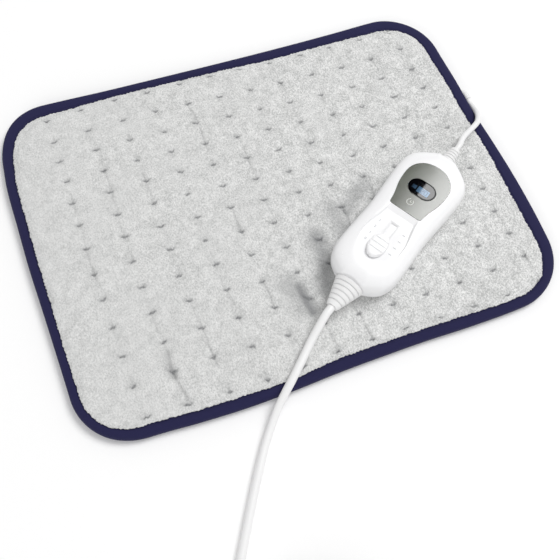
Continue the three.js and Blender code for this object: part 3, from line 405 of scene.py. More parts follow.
def settle(piece, turn=0.0, place=(0, 0, 0), grow=(1, 1, 1)):
    """Turns and moves a piece that was made in millimetres, and leaves its place in its mesh."""
    laid = Matrix.Scale(MM, 4) @ Matrix.Translation(place) @ Matrix.Rotation(turn, 4, "Z")
    piece.data.transform(laid @ Matrix.Diagonal((*grow, 1)))
    return piece


BOOT_FLATNESS = 0.8
BOOT_REACH = 71.5
GROOVE_DEPTH = 1.25
MAINS_NECK = 7
PAD_NECK = 4.6


def boot_profile(flange, neck, collar, tip, inner, flange_depth, length, ribs, gap=0.3):
    """Flange inside the shells, a neck in their opening, and rounded bands down to the tip."""
    front = flange_depth - inner
    profile = [
        (-inner, 0), (-inner, flange - 0.3), (-inner + 0.3, flange), (front - 0.3, flange),
        (front, flange - 0.3), (front, neck), (gap, neck), (gap, collar - 0.5),
        (gap + 0.15, collar - 0.15), (gap + 0.5, collar),
    ]
    pitch = (length - gap) / ribs
    for rib in range(ribs):
        start = gap + rib * pitch

        def band(share):
            """The radius at a share of this band's pitch."""
            return collar + (tip - collar) * (rib + share) / ribs

        if rib:
            profile += [
                (start + 0.01 * pitch, band(0) - 0.4), (start + 0.03 * pitch, band(0) - 0.12),
                (start + 0.08 * pitch, band(0.08)),
            ]
        profile += [(start + 0.4 * pitch, band(0.4))]
        if rib < ribs - 1:
            sunk = band(0.85) - GROOVE_DEPTH
            rounding = ((0.7, 0), (0.75, 0.12), (0.77, 0.4))
            profile += [(start + share * pitch, band(share) - low) for share, low in rounding]
            profile += [(start + 0.79 * pitch, sunk), (start + 0.97 * pitch, sunk)]
        else:
            profile += [(length - 0.6, tip), (length - 0.15, tip - 0.2), (length, tip - 0.6)]
    return [*profile, (length, 0)]


boot_rubber = moulded("white boot rubber", (238, 238, 238), 0.42, grain=900, depth=0.00004)
boots = {
    "mains_boot": (boot_profile(8.5, MAINS_NECK, 12.5, 5, 7.5, 1.7, 23.5, 6), -1, "mains_cord_boot"),
    "pad_boot": (boot_profile(6, PAD_NECK, 6.4, 4.2, 6, 1.5, 15.5, 5), 1, "pad_cord_boot"),
}
for name, (profile, end, node) in boots.items():
    boot = spun(name, profile)
    facing = CONTROLLER_TURN if end > 0 else CONTROLLER_TURN + math.pi
    settle(boot, facing, on_axis(end * BOOT_REACH), (1, 1, BOOT_FLATNESS))
    boot.data.materials.append(boot_rubber)
    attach(boot, "pad")
    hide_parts(node)


# Plush top. One pale grey plush panel over wadding, sewn through at every tuft and drawn in under the
# binding all round. The panel is blown out between its tufts as cloth, and its pile is raised afterwards.
PAD_LENGTH = 400
PAD_WIDTH = 300
PAD_CORNER = 46
TUFT_COLUMNS = 12
TUFT_ROWS = 13
TUFT_SPAN_X = 320
TUFT_SPAN_Y = 271.2
TUFT_PITCH_X = TUFT_SPAN_X / (TUFT_COLUMNS - 1)
TUFT_PITCH_Y = TUFT_SPAN_Y / (TUFT_ROWS - 1)
TUFT_SHIFT = (5, -0.7)
CELLS_PER_COLUMN = 8
CELLS_PER_ROW = 6
PLUSH_BASE = 8.3
PLUSH_CROWN = 11.35
FIELD_INSET = 14
tufts = [
    (TUFT_SHIFT[0] + (column - (TUFT_COLUMNS - 1) / 2) * TUFT_PITCH_X,
     TUFT_SHIFT[1] + (row - (TUFT_ROWS - 1) / 2) * TUFT_PITCH_Y)
    for column in range(TUFT_COLUMNS) for row in range(TUFT_ROWS)
]
straight_x = PAD_LENGTH - 2 * PAD_CORNER
straight_y = PAD_WIDTH - 2 * PAD_CORNER
quarter = PAD_CORNER * math.pi / 2
pad_perimeter = 2 * (straight_x + straight_y) + 4 * quarter


def rim_place(x, y):
    """How far points lie along the pad's outline and inside it, with the way out."""
    over_x, over_y = np.abs(x) - straight_x / 2, np.abs(y) - straight_y / 2
    end_gap, side_gap = PAD_LENGTH / 2 - np.abs(x), PAD_WIDTH / 2 - np.abs(y)
    corner = (over_x > 0) & (over_y > 0)
    at_end = ~corner & (end_gap < side_gap)
    way_x = np.where(corner, over_x * np.sign(x), np.where(at_end, np.sign(x), 0))
    way_y = np.where(corner, over_y * np.sign(y), np.where(at_end, 0, np.sign(y)))
    reach = np.hypot(way_x, way_y)
    reach = np.where(reach == 0, 1, reach)
    inset = np.where(corner, PAD_CORNER - reach, np.where(at_end, end_gap, side_gap))
    second = np.where(y < 0, np.where(x > 0, 0, 3), np.where(x > 0, 1, 2))
    turn = np.mod(np.arctan2(way_y, way_x) + math.pi / 2, 2 * math.pi) - second * math.pi / 2
    starts = np.cumsum([straight_x, quarter + straight_y, quarter + straight_x, quarter + straight_y])
    on_corner = starts[second] + turn * PAD_CORNER
    on_right = straight_x + quarter + y + straight_y / 2
    on_left = 2 * straight_x + 3 * quarter + 1.5 * straight_y - y
    on_end = np.where(x > 0, on_right, on_left)
    on_side = np.where(y < 0, x + straight_x / 2, 1.5 * straight_x + 2 * quarter + straight_y - x)
    along = np.where(corner, on_corner, np.where(at_end, on_end, on_side))
    return along % pad_perimeter, inset, way_x / reach, way_y / reach


def to_outline(x, y):
    """How far a point lies inside the pad's outline."""
    return rim_place(x, y)[1]


def rim_curve(amounts):
    """Amounts at even steps round the rim as points of a smooth closed curve."""
    return through([(i, amounts[i % len(amounts)]) for i in range(-1, len(amounts) + 2)], 8)


def round_rim(along, amounts, curve):
    """The amount that a rim curve has at distances along the rim."""
    return np.interp(along / pad_perimeter * len(amounts), curve[:, 0], curve[:, 1])


# The rim isn't drawn with a ruler: it bows out softly by these amounts, from the near left corner on.
rim_bows = [
    -0.5, 2, 3.5, 3, 1.5, 1, 1, 2, 2, 0.5, 1, 3, 3.5, 2.4, 0.4, 0.6, -0.4, 0.2, 1.4, 0.3, -0.4, -0.7,
    -0.7, -0.4, 0, 0.5, 1.6, 1.8, -1.6, 1.3, 1.7, 2, 1.2, 0.5, 0, 0,
]
bow_curve = rim_curve(rim_bows)
BOW_RIM = 8
BOW_FADE = 13


def eased(share):
    """A share kept between 0 and 1 that starts and ends softly."""
    share = np.clip(share, 0, 1)
    return share * share * (3 - 2 * share)


def bowed(points):
    """Moves points near the pad's rim out with the rim's bow; points well inside stay."""
    along, inset, way_x, way_y = rim_place(points[:, 0], points[:, 1])
    share = eased((BOW_RIM + BOW_FADE - inset) / BOW_FADE)
    bow = round_rim(along, rim_bows, bow_curve) * share
    found = points.copy()
    found[:, 0] += way_x * bow
    found[:, 1] += way_y * bow
    return found


# The binding laps over the plush unevenly: by this much more or less than usual, from the same corner on.
rim_laps = [
    -0.6, -0.5, -0.3, -1.3, 0.3, 0.2, -0.1, 0.1, -0.8, 0.2, 3.0, 3.9, 3.6, 2.4, 2.8, 2.9, 3.8, 3.7,
    3.6, 2.7, 2.5, 2.8, 1.2, 0.8, 0.3, 0.7, 2.6, 2.7, 1.3, -0.2, -0.6, -0.7, -1.2, -1.9, -1.8, -2.3,
]
lap_curve = rim_curve(rim_laps)
LAP_START = 3.1
LAP_RISE = 2.9
LAP_FADE = 12.5
SHOULDER_HEIGHT = 8.1
# Height, number round the rim and start of each small wave in the binding's edge, and for the pile beside
# it the height and number of each wave, and how far and how often it sways.
EDGE_WAVES = [(0.16, 97, 0), (0.12, 53, 1), (0.1, 151, 2)]
PILE_WAVES = [(0.22, 331, 3, 41), (0.16, 487, 2, 29)]


def lap_at(along):
    """How much more than usual the binding laps over the plush, at distances along the rim."""
    turn = along / pad_perimeter * 2 * math.pi
    scallop = sum(height * np.sin(number * turn + start) for height, number, start in EDGE_WAVES)
    return round_rim(along, rim_laps, lap_curve) + scallop


def lapped(points):
    """Moves the plush's edge in where the binding laps farther over it, and out where it laps less."""
    along, inset, way_x, way_y = rim_place(points[:, 0], points[:, 1])
    turn = along / pad_perimeter * 2 * math.pi
    ragged = sum(
        height * np.sin(number * turn + sway * np.sin(sways * turn))
        for height, number, sway, sways in PILE_WAVES)
    lap = lap_at(along) + ragged
    lap = np.where(lap > 0, lap, lap * np.clip((points[:, 2] - SHOULDER_HEIGHT) / 0.5, 0, 1))
    fading = eased((inset - LAP_FADE) / (3 * np.maximum(np.abs(lap), 1.5)))
    share = np.clip((inset - LAP_START) / LAP_RISE, 0, 1) * (1 - fading)
    found = points.copy()
    found[:, 0] -= way_x * lap * share
    found[:, 1] -= way_y * lap * share
    return found


# The rows and columns of tufts drift too. These are the powers of the place along the pad, then across it,
# that add up to the drift in each direction.
TUFT_DRIFT_X = [[-0.1, -0.5, 1.8, -3.3], [-3.7, -2.1, -0.6, 0], [0.5, 0.5, 0, 0], [5.2, 0, 0, 0]]
TUFT_DRIFT_Y = [[1.3, -2.7, -4.6, 3.5], [-10.3, 0.8, 5.3, 0], [0.6, -1.3, 0, 0], [6.5, 0, 0, 0]]
DRIFT_LIMIT = 1.05
DRIFT_RIM = 8
DRIFT_RISE = 5
DRIFT_EASE_X = 30
DRIFT_EASE_Y = 16


def drifted(points):
    """Moves points of the covers with the drift of their tufts; the rim stays."""
    x, y = points[:, 0], points[:, 1]
    place_x = (x - TUFT_SHIFT[0]) / (TUFT_PITCH_X * (TUFT_COLUMNS - 1) / 2)
    place_y = (y - TUFT_SHIFT[1]) / (TUFT_PITCH_Y * (TUFT_ROWS - 1) / 2)
    place_x = np.clip(place_x, -DRIFT_LIMIT, DRIFT_LIMIT)
    place_y = np.clip(place_y, -DRIFT_LIMIT, DRIFT_LIMIT)
    free = eased((to_outline(x, y) - DRIFT_RIM) / DRIFT_RISE)
    free_x = free * eased((PAD_LENGTH / 2 - DRIFT_RIM - np.abs(x)) / DRIFT_EASE_X)
    free_y = free * eased((PAD_WIDTH / 2 - DRIFT_RIM - np.abs(y)) / DRIFT_EASE_Y)
    found = points.copy()
    found[:, 0] += free_x * np.polynomial.polynomial.polyval2d(place_x, place_y, TUFT_DRIFT_X)
    found[:, 1] += free_y * np.polynomial.polynomial.polyval2d(place_x, place_y, TUFT_DRIFT_Y)
    return found


def grid_lines(centre, pitch, count, cells, half):
    """Lines through the tufts, a number of cells to a pitch, with an even stretch to each side."""
    first = centre - (count - 1) / 2 * pitch
    last = centre + (count - 1) / 2 * pitch
    inner = np.linspace(first, last, (count - 1) * cells + 1)
    step = pitch / cells
    before = np.linspace(-half, first, round((first + half) / step) + 1)[:-1]
    after = np.linspace(last, half, round((half - last) / step) + 1)[1:]
    return np.concatenate([before, inner, after])


def rounded_corner(x, y, half_x, half_y, radius):
    """Draws the corners of a square field in to round ones."""
    u = max((abs(x) - half_x) / radius + 1, 0)
    v = max((abs(y) - half_y) / radius + 1, 0)
    if u == 0 or v == 0:
        return x, y
    round_u = u * math.sqrt(1 - v * v / 2)
    round_v = v * math.sqrt(1 - u * u / 2)
    return (math.copysign(half_x + (round_u - 1) * radius, x),
            math.copysign(half_y + (round_v - 1) * radius, y))


def pad_panel(name, columns, rows, inset, height, rings):
    """A closed panel with round corners: its field, then rings of (inset, height) out and under it."""
    half_x = PAD_LENGTH / 2 - inset
    half_y = PAD_WIDTH / 2 - inset
    radius = PAD_CORNER - inset
    field = [(*rounded_corner(x, y, half_x, half_y, radius), height) for y in rows for x in columns]
    wide, deep = len(columns), len(rows)
    faces = [
        (j * wide + i, j * wide + i + 1, (j + 1) * wide + i + 1, (j + 1) * wide + i)
        for j in range(deep - 1) for i in range(wide - 1)
    ]
    edge = [
        *range(wide - 1), *(j * wide + wide - 1 for j in range(deep - 1)),
        *((deep - 1) * wide + i for i in range(wide - 1, 0, -1)),
        *(j * wide for j in range(deep - 1, 0, -1)),
    ]
    points = list(field)
    previous = edge
    for ring_inset, ring_height in rings:
        start = len(points)
        for i in edge:
            x, y, _ = field[i]
            corner = Vector((
                math.copysign(min(abs(x), PAD_LENGTH / 2 - PAD_CORNER), x),
                math.copysign(min(abs(y), PAD_WIDTH / 2 - PAD_CORNER), y),
            ))
            out = (Vector((x, y)) - corner).normalized()
            place = Vector((x, y)) + out * (inset - ring_inset)
            points.append((place.x, place.y, ring_height))
        ring = list(range(start, len(points)))
        count = len(ring)
        for k in range(count):
            after = (k + 1) % count
            faces.append((previous[k], ring[k], ring[after], previous[after]))
        previous = ring
    return new_piece(name, points, [], faces), len(field)


def close_panel(piece):
    """Closes a panel on its open side and points its faces outwards."""
    pick(piece)
    bpy.ops.object.mode_set(mode="EDIT")
    bpy.ops.mesh.select_all(action="DESELECT")
    bpy.ops.mesh.select_mode(type="EDGE")
    bpy.ops.mesh.select_non_manifold()
    bpy.ops.mesh.fill()
    bpy.ops.object.mode_set(mode="OBJECT")
    face_outwards()


def points_of(piece):
    """The points of a piece's mesh, one row each."""
    found = np.empty(len(piece.data.vertices) * 3)
    piece.data.vertices.foreach_get("co", found)
    return found.reshape(-1, 3)


def move_points(piece, points):
    """Gives a piece's mesh its points, from one row each."""
    piece.data.vertices.foreach_set("co", points.ravel())
    piece.data.update()


def apply_all(piece):
    """Applies every modifier of a piece, first to last."""
    pick(piece)
    for modifier in list(piece.modifiers):
        bpy.ops.object.modifier_apply(modifier=modifier.name)


LATTICE_CELLS = 2048
LATTICE_START = (700.37, 700.61)


def lattice_noise(seed, x, y, size):
    """Smooth random values between -1 and 1 on a square lattice."""
    draws = np.random.default_rng(seed).uniform(-1, 1, (LATTICE_CELLS, LATTICE_CELLS))
    grid_x, grid_y = x / size + LATTICE_START[0], y / size + LATTICE_START[1]
    i, j = np.floor(grid_x).astype(int), np.floor(grid_y).astype(int)
    u, v = grid_x - i, grid_y - j
    u, v = u * u * (3 - 2 * u), v * v * (3 - 2 * v)
    low = draws[j, i] * (1 - u) + draws[j, i + 1] * u
    high = draws[j + 1, i] * (1 - u) + draws[j + 1, i + 1] * u
    return low * (1 - v) + high * v


half_field_x = PAD_LENGTH / 2 - FIELD_INSET
half_field_y = PAD_WIDTH / 2 - FIELD_INSET
plush_columns = grid_lines(TUFT_SHIFT[0], TUFT_PITCH_X, TUFT_COLUMNS, CELLS_PER_COLUMN, half_field_x)
plush_rows = grid_lines(TUFT_SHIFT[1], TUFT_PITCH_Y, TUFT_ROWS, CELLS_PER_ROW, half_field_y)
plush_rings = [
    (12.4, 11.0), (10.9, 10.5), (9.4, 9.7), (8.6, 9.0), (8.8, 8.4), (9.4, 8.15), (9.75, 7.2),
    (9.4, 6.55), (6, 6.5), (3.1, 6.45), (3.1, 5.95), (6, 5.9), (10.7, 6.2), (12.3, 8.1), (16, PLUSH_BASE),
]
plush_top, field_count = pad_panel(
    "plush_top", plush_columns, plush_rows, FIELD_INSET, PLUSH_CROWN, plush_rings)
close_panel(plush_top)
BLOWN_FRAMES = 20
PLUSH_SWELL = 1.05
PLUSH_LIMIT = 11.75
CELL = 2.5
start = points_of(plush_top)
tuft_array = np.array(tufts)


def nearest_tuft(points):
    """The number of the nearest tuft to each point, with the way to it."""
    first = tuft_array[0]
    column = np.clip(np.rint((points[:, 0] - first[0]) / TUFT_PITCH_X), 0, TUFT_COLUMNS - 1).astype(int)
    row = np.clip(np.rint((points[:, 1] - first[1]) / TUFT_PITCH_Y), 0, TUFT_ROWS - 1).astype(int)
    number = column * TUFT_ROWS + row
    return number, points[:, :2] - tuft_array[number]


number, away = nearest_tuft(start)
sewn = np.hypot(away[:, 0], away[:, 1]) < CELL / 4
sewn[field_count:] = True
held = plush_top.vertex_groups.new(name="held")
held.add([int(i) for i in np.flatnonzero(sewn)], 1, "REPLACE")
settle(plush_top)
cloth = plush_top.modifiers.new("blown", "CLOTH")
cloth.settings.quality = 5
cloth.settings.mass = 0.05
cloth.settings.tension_stiffness = 6
cloth.settings.compression_stiffness = 6
cloth.settings.shear_stiffness = 3
cloth.settings.bending_stiffness = 0.02
cloth.settings.use_pressure = True
cloth.settings.uniform_pressure_force = 4
cloth.settings.shrink_min = -0.02
cloth.settings.effector_weights.gravity = 0
cloth.settings.vertex_group_mass = "held"
cloth.collision_settings.use_collision = False
for step in range(1, BLOWN_FRAMES + 1):
    scene.frame_set(step)
apply_all(plush_top)
scene.frame_set(1)
blown = points_of(plush_top) / MM
moved = blown - start
reach = np.linalg.norm(moved, axis=1)
allowed = PLUSH_SWELL * np.tanh(reach / PLUSH_SWELL) / np.maximum(reach, 1e-6)
move_points(plush_top, start + moved * allowed[:, None])
plush_top.vertex_groups.clear()
smoother = plush_top.modifiers.new("smooth", "SUBSURF")
smoother.levels = smoother.render_levels = 2
apply_all(plush_top)

# The pile over it: a soft dimple with a tight nick at each tuft, faint valleys between tufts, the folds and
# hollows of a pad that has been rolled up and carries its controller, and nap. First come the sizes of each,
# then how far each draws the pile in, and how much darker each paints the pile: painted shade where shade
# falls in the nicks, beside them, in the dimples, puckers, valleys, creases and hollows.
NICK_LENGTH = 2.7
NICK_WIDTH = 0.6
SIDE_SHADE_LENGTH = 3.2
SIDE_SHADE_WIDTH = 1.1
SIDE_SHADE_PLACE = -2.4
DIMPLE_REACH = 4.4
PUCKERS = 3
PUCKER_WIDTH = 0.8
COLUMN_VALLEY_WIDTH = 0.8
ROW_VALLEY_WIDTH = 2.2
DIMPLE_FALL = 0.42
NICK_FALL = 0.7
SIDE_SHADE_FALL = 0.12
PUCKER_FALL = 0.16
ROW_VALLEY_FALL = 0.08
DEEPEST_FALL = 2.9
# Painted shade: how much darker the pile's colour is painted beside each nick, in its dimple and puckers,
# along the valleys and creases, and in the hollows beside the controller. A nick's own darkening is partly
# its pressed pile and partly painted shade.
SIDE_SHADE_DARK = 0.2
DIMPLE_DARK = 0.08
PUCKER_DARK = 0.16
VALLEY_DARK = 0.36
CREASE_DARK = 0.22
HOLLOW_DARK = 0.8
shaped = points_of(plush_top)
x, y = shaped[:, 0], shaped[:, 1]
number, away = nearest_tuft(shaped)
chance = np.random.default_rng(41)
nick_turn = np.radians(chance.uniform(-14, 10, len(tufts)))
nick_size = chance.uniform(0.75, 1.2, len(tufts))
nick_shift = chance.uniform(-0.7, 0.7, (len(tufts), 2))
nick_smile = chance.uniform(0.02, 0.16, len(tufts))
from_nick = away - nick_shift[number]
along = from_nick[:, 0] * np.cos(nick_turn[number]) + from_nick[:, 1] * np.sin(nick_turn[number])
across = -from_nick[:, 0] * np.sin(nick_turn[number]) + from_nick[:, 1] * np.cos(nick_turn[number])
nick_wave = chance.uniform(0, 2 * math.pi, len(tufts))
across = across - nick_smile[number] * along ** 2 - 0.35 * np.sin(1.9 * along + nick_wave[number])
nick_and_shade = np.exp(-(along / (NICK_LENGTH * nick_size[number])) ** 4 - (across / NICK_WIDTH) ** 2)
# A soft patch of painted shade beside each nick, in the fold that it pulls.
side_shade = np.exp(-((along - SIDE_SHADE_PLACE) / SIDE_SHADE_LENGTH) ** 2 - (across / SIDE_SHADE_WIDTH) ** 2)
dimple = np.exp(-(np.hypot(from_nick[:, 0], from_nick[:, 1]) / DIMPLE_REACH) ** 2)
pucker = np.zeros(len(shaped))
for _ in range(PUCKERS):
    turn = chance.uniform(0, math.pi, len(tufts))[number]
    reach = chance.uniform(3, 8, len(tufts))[number]
    offset = -from_nick[:, 0] * np.sin(turn) + from_nick[:, 1] * np.cos(turn)
    run = from_nick[:, 0] * np.cos(turn) + from_nick[:, 1] * np.sin(turn)
    pucker += np.exp(-(offset / PUCKER_WIDTH) ** 2 - (run / reach) ** 2) * (run > 0)
column_wander = 0.9 * lattice_noise(5, x, y, 17) + 0.8 * lattice_noise(8, x, y, 7)
column_valley = np.exp(-((away[:, 0] + column_wander) / COLUMN_VALLEY_WIDTH) ** 2)
column_depth = 0.2 + 0.5 * lattice_noise(6, x, y, 31) + 0.3 * lattice_noise(9, x, y, 6)
row_wander = 0.6 * lattice_noise(7, x, y, 17)
row_valley = np.exp(-((away[:, 1] + row_wander) / ROW_VALLEY_WIDTH) ** 2)
inside = to_outline(x, y)
over_field = np.clip((inside - 9) / 5, 0, 1)
inner_field = np.clip((inside - 12) / 9, 0, 1)
top_side = shaped[:, 2] > PLUSH_BASE + 0.2
lain = drifted(shaped)


def fold_along(line, width, depth):
    """A fold in the plush along a line of points."""
    found = np.zeros(len(lain))
    for (x0, y0), (x1, y1) in zip(line, line[1:]):
        run_x, run_y = x1 - x0, y1 - y0
        from_x, from_y = lain[:, 0] - x0, lain[:, 1] - y0
        share = np.clip((from_x * run_x + from_y * run_y) / (run_x ** 2 + run_y ** 2), 0, 1)
        off = np.hypot(from_x - share * run_x, from_y - share * run_y)
        found = np.maximum(found, np.exp(-(off / width) ** 2))
    return depth * found


creases = sum([
    fold_along([(-125.2, -97), (-126.6, -106), (-125.6, -114)], 3, 1.4),
    fold_along([(-125, -106), (-124.6, -120), (-121.4, -134)], 1.1, 0.8),
    fold_along([(47.9, -27.4), (48.6, -33), (47.1, -42.8)], 0.9, 0.9),
    fold_along([(52.4, -113.6), (54.9, -120), (54.5, -129.5)], 0.9, 0.8),
    fold_along([(19.4, -45.8), (26.6, -55.9)], 1.2, 0.6),
    fold_along([(-6.7, -81.6), (-5.5, -90.9), (-4.6, -101)], 1.1, 0.8),
    fold_along([(-4.3, -119.9), (-3.2, -128), (-4.4, -136.9)], 0.9, 0.7),
    fold_along([(20, -119), (23.6, -127), (25.3, -137.4)], 0.8, 0.7),
    fold_along([(-27.6, -133.7), (-28.3, -143.4)], 1.2, 0.8),
    fold_along([(-31.8, -117.9), (-29.8, -127)], 0.8, 0.6),
    fold_along([(-95.8, -94.2), (-93.3, -105.1)], 0.8, 0.5),
    fold_along([(121.5, -88.6), (120.6, -95.9)], 0.8, 0.7),
    fold_along([(99.5, -98), (107, -98.4), (113.9, -96.4)], 1.2, 0.6),
])
hollows = np.maximum.reduce([
    fold_along([(-12.5, -79), (-12, -89), (-10.5, -101.5)], 4.8, 1),
    fold_along([(-20, -74), (-17, -84), (-14, -98)], 9, 0.5),
    fold_along([(6, -86), (12, -74), (15.5, -62), (17.2, -54), (16.5, -41.8)], 8.5, 0.72),
    fold_along([(40, -24), (39, -42)], 9, 0.55),
    fold_along([(50, -27), (62, -18), (72, -10)], 8, 0.55),
])
column_line = column_valley * np.clip(column_depth, 0, 1)
at_tufts = DIMPLE_FALL * dimple + NICK_FALL * nick_and_shade + SIDE_SHADE_FALL * side_shade + PUCKER_FALL * pucker
fall = (
    at_tufts * over_field
    + (column_line + ROW_VALLEY_FALL * row_valley) * inner_field
    + (creases + hollows) * np.clip((inside - 8) / 4, 0, 1)
)
fall = np.minimum(fall, DEEPEST_FALL)
folds = (0.32 * lattice_noise(11, x, y, 23) + 0.12 * lattice_noise(12, x, y, 9)) * inner_field
nap = 0.15 * lattice_noise(13, x, y, 1.7) + 0.16 * lattice_noise(14, x, y, 1.0)
shaped[:, 2] += np.where(top_side, -fall + folds + nap * np.clip((inside - 7) / 2, 0, 1), 0)
BENEATH_HALF_LENGTH = 76
BENEATH_HALF_WIDTH = 32
controller_away = lain[:, :2] - np.array([CONTROLLER_PLACE.x, CONTROLLER_PLACE.y])
under_u = controller_away @ np.array([CONTROLLER_AXIS.x, CONTROLLER_AXIS.y])
under_v = controller_away @ np.array([-CONTROLLER_AXIS.y, CONTROLLER_AXIS.x])
beneath = (np.abs(under_u) < BENEATH_HALF_LENGTH) & (np.abs(under_v) < BENEATH_HALF_WIDTH)
shaped[:, 2] = np.where(beneath, np.minimum(shaped[:, 2], PLUSH_LIMIT), shaped[:, 2])
move_points(plush_top, bowed(lapped(drifted(shaped))) * MM)
# The pile's painted shade, carried to its material in this attribute: darkness painted in the nicks, beside
# them, in the dimples, puckers, valleys, creases and hollows, where shade falls.
painted_shade = plush_top.data.attributes.new("nick_and_shade", "FLOAT", "POINT")
dark_tufts = nick_and_shade + SIDE_SHADE_DARK * side_shade + DIMPLE_DARK * dimple + PUCKER_DARK * pucker
dark_lines = VALLEY_DARK * column_line + CREASE_DARK * creases + HOLLOW_DARK * hollows
painted_shade_share = (dark_tufts + dark_lines) * over_field * top_side
painted_shade.data.foreach_set("value", np.clip(painted_shade_share, 0, 1))
plush_top.data.shade_smooth()


MOTTLE_SHARE = 0.32
PILE_MEAN = 0.66


def pile_fibre():
    """Short standing pile: speckled fibre tips over a soft mottle, with a height for each fibre."""
    group, given, result = new_group("pile", {
        "Coordinates": "Vector", "Tip Colour": "Color", "Root Colour": "Color", "Fibres per Metre": "Float",
    }, {"Colour": "Color", "Height": "Float"})
    place = given["Coordinates"]
    combed = add_node(group, "Mapping", Vector=place, Scale=(1, 0.72, 1))
    fibre = add_node(
        group, "TexNoise", Vector=combed.outputs["Vector"], Scale=given["Fibres per Metre"], Detail=4,
        Roughness=0.65)
    mottle = add_node(group, "TexNoise", Vector=place, Scale=140, Detail=5)
    height = worked_out(group, "MULTIPLY_ADD", mottle.outputs["Fac"], MOTTLE_SHARE, fibre.outputs["Fac"])
    patches = add_node(group, "TexNoise", Vector=place, Scale=22, Detail=2)
    along_pad = add_node(group, "SeparateXYZ", Vector=place).outputs["X"]
    roughened = add_node(
        group, "MapRange", Value=along_pad, From_Min=-0.17, From_Max=0.17, To_Min=0.3, To_Max=1.05)
    openness = worked_out(
        group, "MULTIPLY_ADD", patches.outputs["Fac"], 0.7, roughened.outputs["Result"])
    off_mean = worked_out(group, "SUBTRACT", height, PILE_MEAN)
    spread = worked_out(group, "MULTIPLY_ADD", off_mean, openness, PILE_MEAN)
    tips = add_node(group, "MapRange", Value=spread, From_Min=0.48, From_Max=0.87)
    blend = add_node(
        group, "Mix", {"data_type": "RGBA"}, Factor=tips.outputs["Result"], A=given["Root Colour"],
        B=given["Tip Colour"])
    feed(group, result["Colour"], blend.outputs["Result"])
    feed(group, result["Height"], height)
    return group


PILE = pile_fibre()
plush, tree, plush_shader = new_finish(
    "pale grey plush", Roughness=0.95, Sheen_Weight=0.25, Sheen_Roughness=0.5)
pile = add_node(
    tree, "Group", {"node_tree": PILE}, Coordinates=add_node(tree, "TexCoord").outputs["Object"],
    Tip_Colour=linear(242, 242, 241), Root_Colour=linear(179, 180, 179), Fibres_per_Metre=950)
# Painted shade: the mesh's attribute darkens the pile towards a mid grey in the nicks, folds, valleys and
# hollows where shade falls; the nicks' pressed pile is partly in it too.
painted_shade_in = add_node(tree, "Attribute", {"attribute_name": "nick_and_shade"})
pile_and_painted_shade = add_node(
    tree, "Mix", {"data_type": "RGBA"}, Factor=painted_shade_in.outputs["Fac"], A=pile.outputs["Colour"],
    B=linear(118, 119, 121))
feed(tree, plush_shader.inputs["Base Color"], pile_and_painted_shade.outputs["Result"])
raise_grain(tree, pile, plush_shader, 0.0005, 0.8)
plush_top.data.materials.append(plush)
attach(plush_top, "pad")
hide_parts("top_cover")


# Binding. A woven navy tape folded over the raw rim of both panels and stitched through near its inner
# edges. Its lap over the plush comes and goes, as the sewing left it.
BINDING_SPACING = 1.6
RIPPLE_SHARE = 0.8
MIDDLE_HEIGHT = 4


def rim_point(distance, inset):
    """A point at an inset from the pad's outline, at a distance along it, with the way out."""
    distance %= pad_perimeter
    x, y = straight_x / 2, straight_y / 2
    sides = (
        (straight_x, (-x, -y), (1, 0), (0, -1)), (quarter, (x, -y), None, -math.pi / 2),
        (straight_y, (x, -y), (0, 1), (1, 0)), (quarter, (x, y), None, 0),
        (straight_x, (x, y), (-1, 0), (0, 1)), (quarter, (-x, y), None, math.pi / 2),
        (straight_y, (-x, y), (0, -1), (-1, 0)), (quarter, (-x, -y), None, math.pi),
    )
    for length, corner, run, out in sides:
        if distance <= length:
            break
        distance -= length
    if run is None:
        angle = out + distance / PAD_CORNER
        way = (math.cos(angle), math.sin(angle))
        step = 0
        run = (0, 0)
    else:
        way = out
        step = distance
    reach = PAD_CORNER - inset
    return corner[0] + run[0] * step + way[0] * reach, corner[1] + run[1] * step + way[1] * reach


outer_fold = through([
    (9.05, 7.5), (8.85, 7.95), (8.1, 8.05), (7.3, 7.72), (6.5, 8.1), (4.4, 8.3), (1.9, 7.8), (0.45, 6.4),
    (0.02, 4.8), (0.02, 3.2), (0.45, 1.6), (1.7, 0.35), (3.6, 0.06), (6.5, 0.05), (9, 0.06),
], 3)
inner_fold = through([
    (9.15, 0.5), (7.5, 0.85), (3.4, 0.95), (1.5, 1.9), (1.05, 3.4), (1.05, 4.6), (1.5, 6.1), (3.4, 7),
    (7.5, 7.1),
], 2)
fold = [*outer_fold, *inner_fold]
steps = round(pad_perimeter / BINDING_SPACING)
tape_points, tape_faces, tape_marks = [], [], []
for i in range(steps):
    distance = i / steps * pad_perimeter
    ripple = 0.1 * math.sin(distance * 0.78) + 0.07 * math.sin(distance * 0.31 + 1.3)
    for inset, height in fold:
        lip = max((inset - 6) / 3, 0) if height > MIDDLE_HEIGHT else 0
        upper = min(max((inset - 3.5) / 3, 0), 1) if height > MIDDLE_HEIGHT else 0
        lap = upper * max(lap_at(distance), 0)
        x, y = rim_point(distance, inset + RIPPLE_SHARE * ripple * lip + lap)
        tape_points.append((x, y, height + ripple * lip * RIPPLE_SHARE))
for i in range(steps):
    for k in range(len(fold)):
        a, b = i * len(fold), (i + 1) % steps * len(fold)
        after = (k + 1) % len(fold)
        tape_faces.append((a + k, a + after, b + after, b + k))
        tape_marks.append((i, k))
binding_tape = new_piece("binding_tape", bowed(np.array(tape_points)), [], tape_faces)
weave_map = binding_tape.data.uv_layers.new(name="weave")
fold_steps = np.linalg.norm(np.diff(np.array([*fold, fold[0]]), axis=0), axis=1)
fold_length = np.concatenate([[0], np.cumsum(fold_steps)])
marks = []
for i, k in tape_marks:
    near, far = i * pad_perimeter / steps * MM, (i + 1) * pad_perimeter / steps * MM
    low, high = fold_length[k] * MM, fold_length[k + 1] * MM
    marks += [near, low, near, high, far, high, far, low]
weave_map.data.foreach_set("uv", marks)
face_outwards()
bpy.ops.object.shade_smooth_by_angle(angle=math.radians(60))
settle(binding_tape)


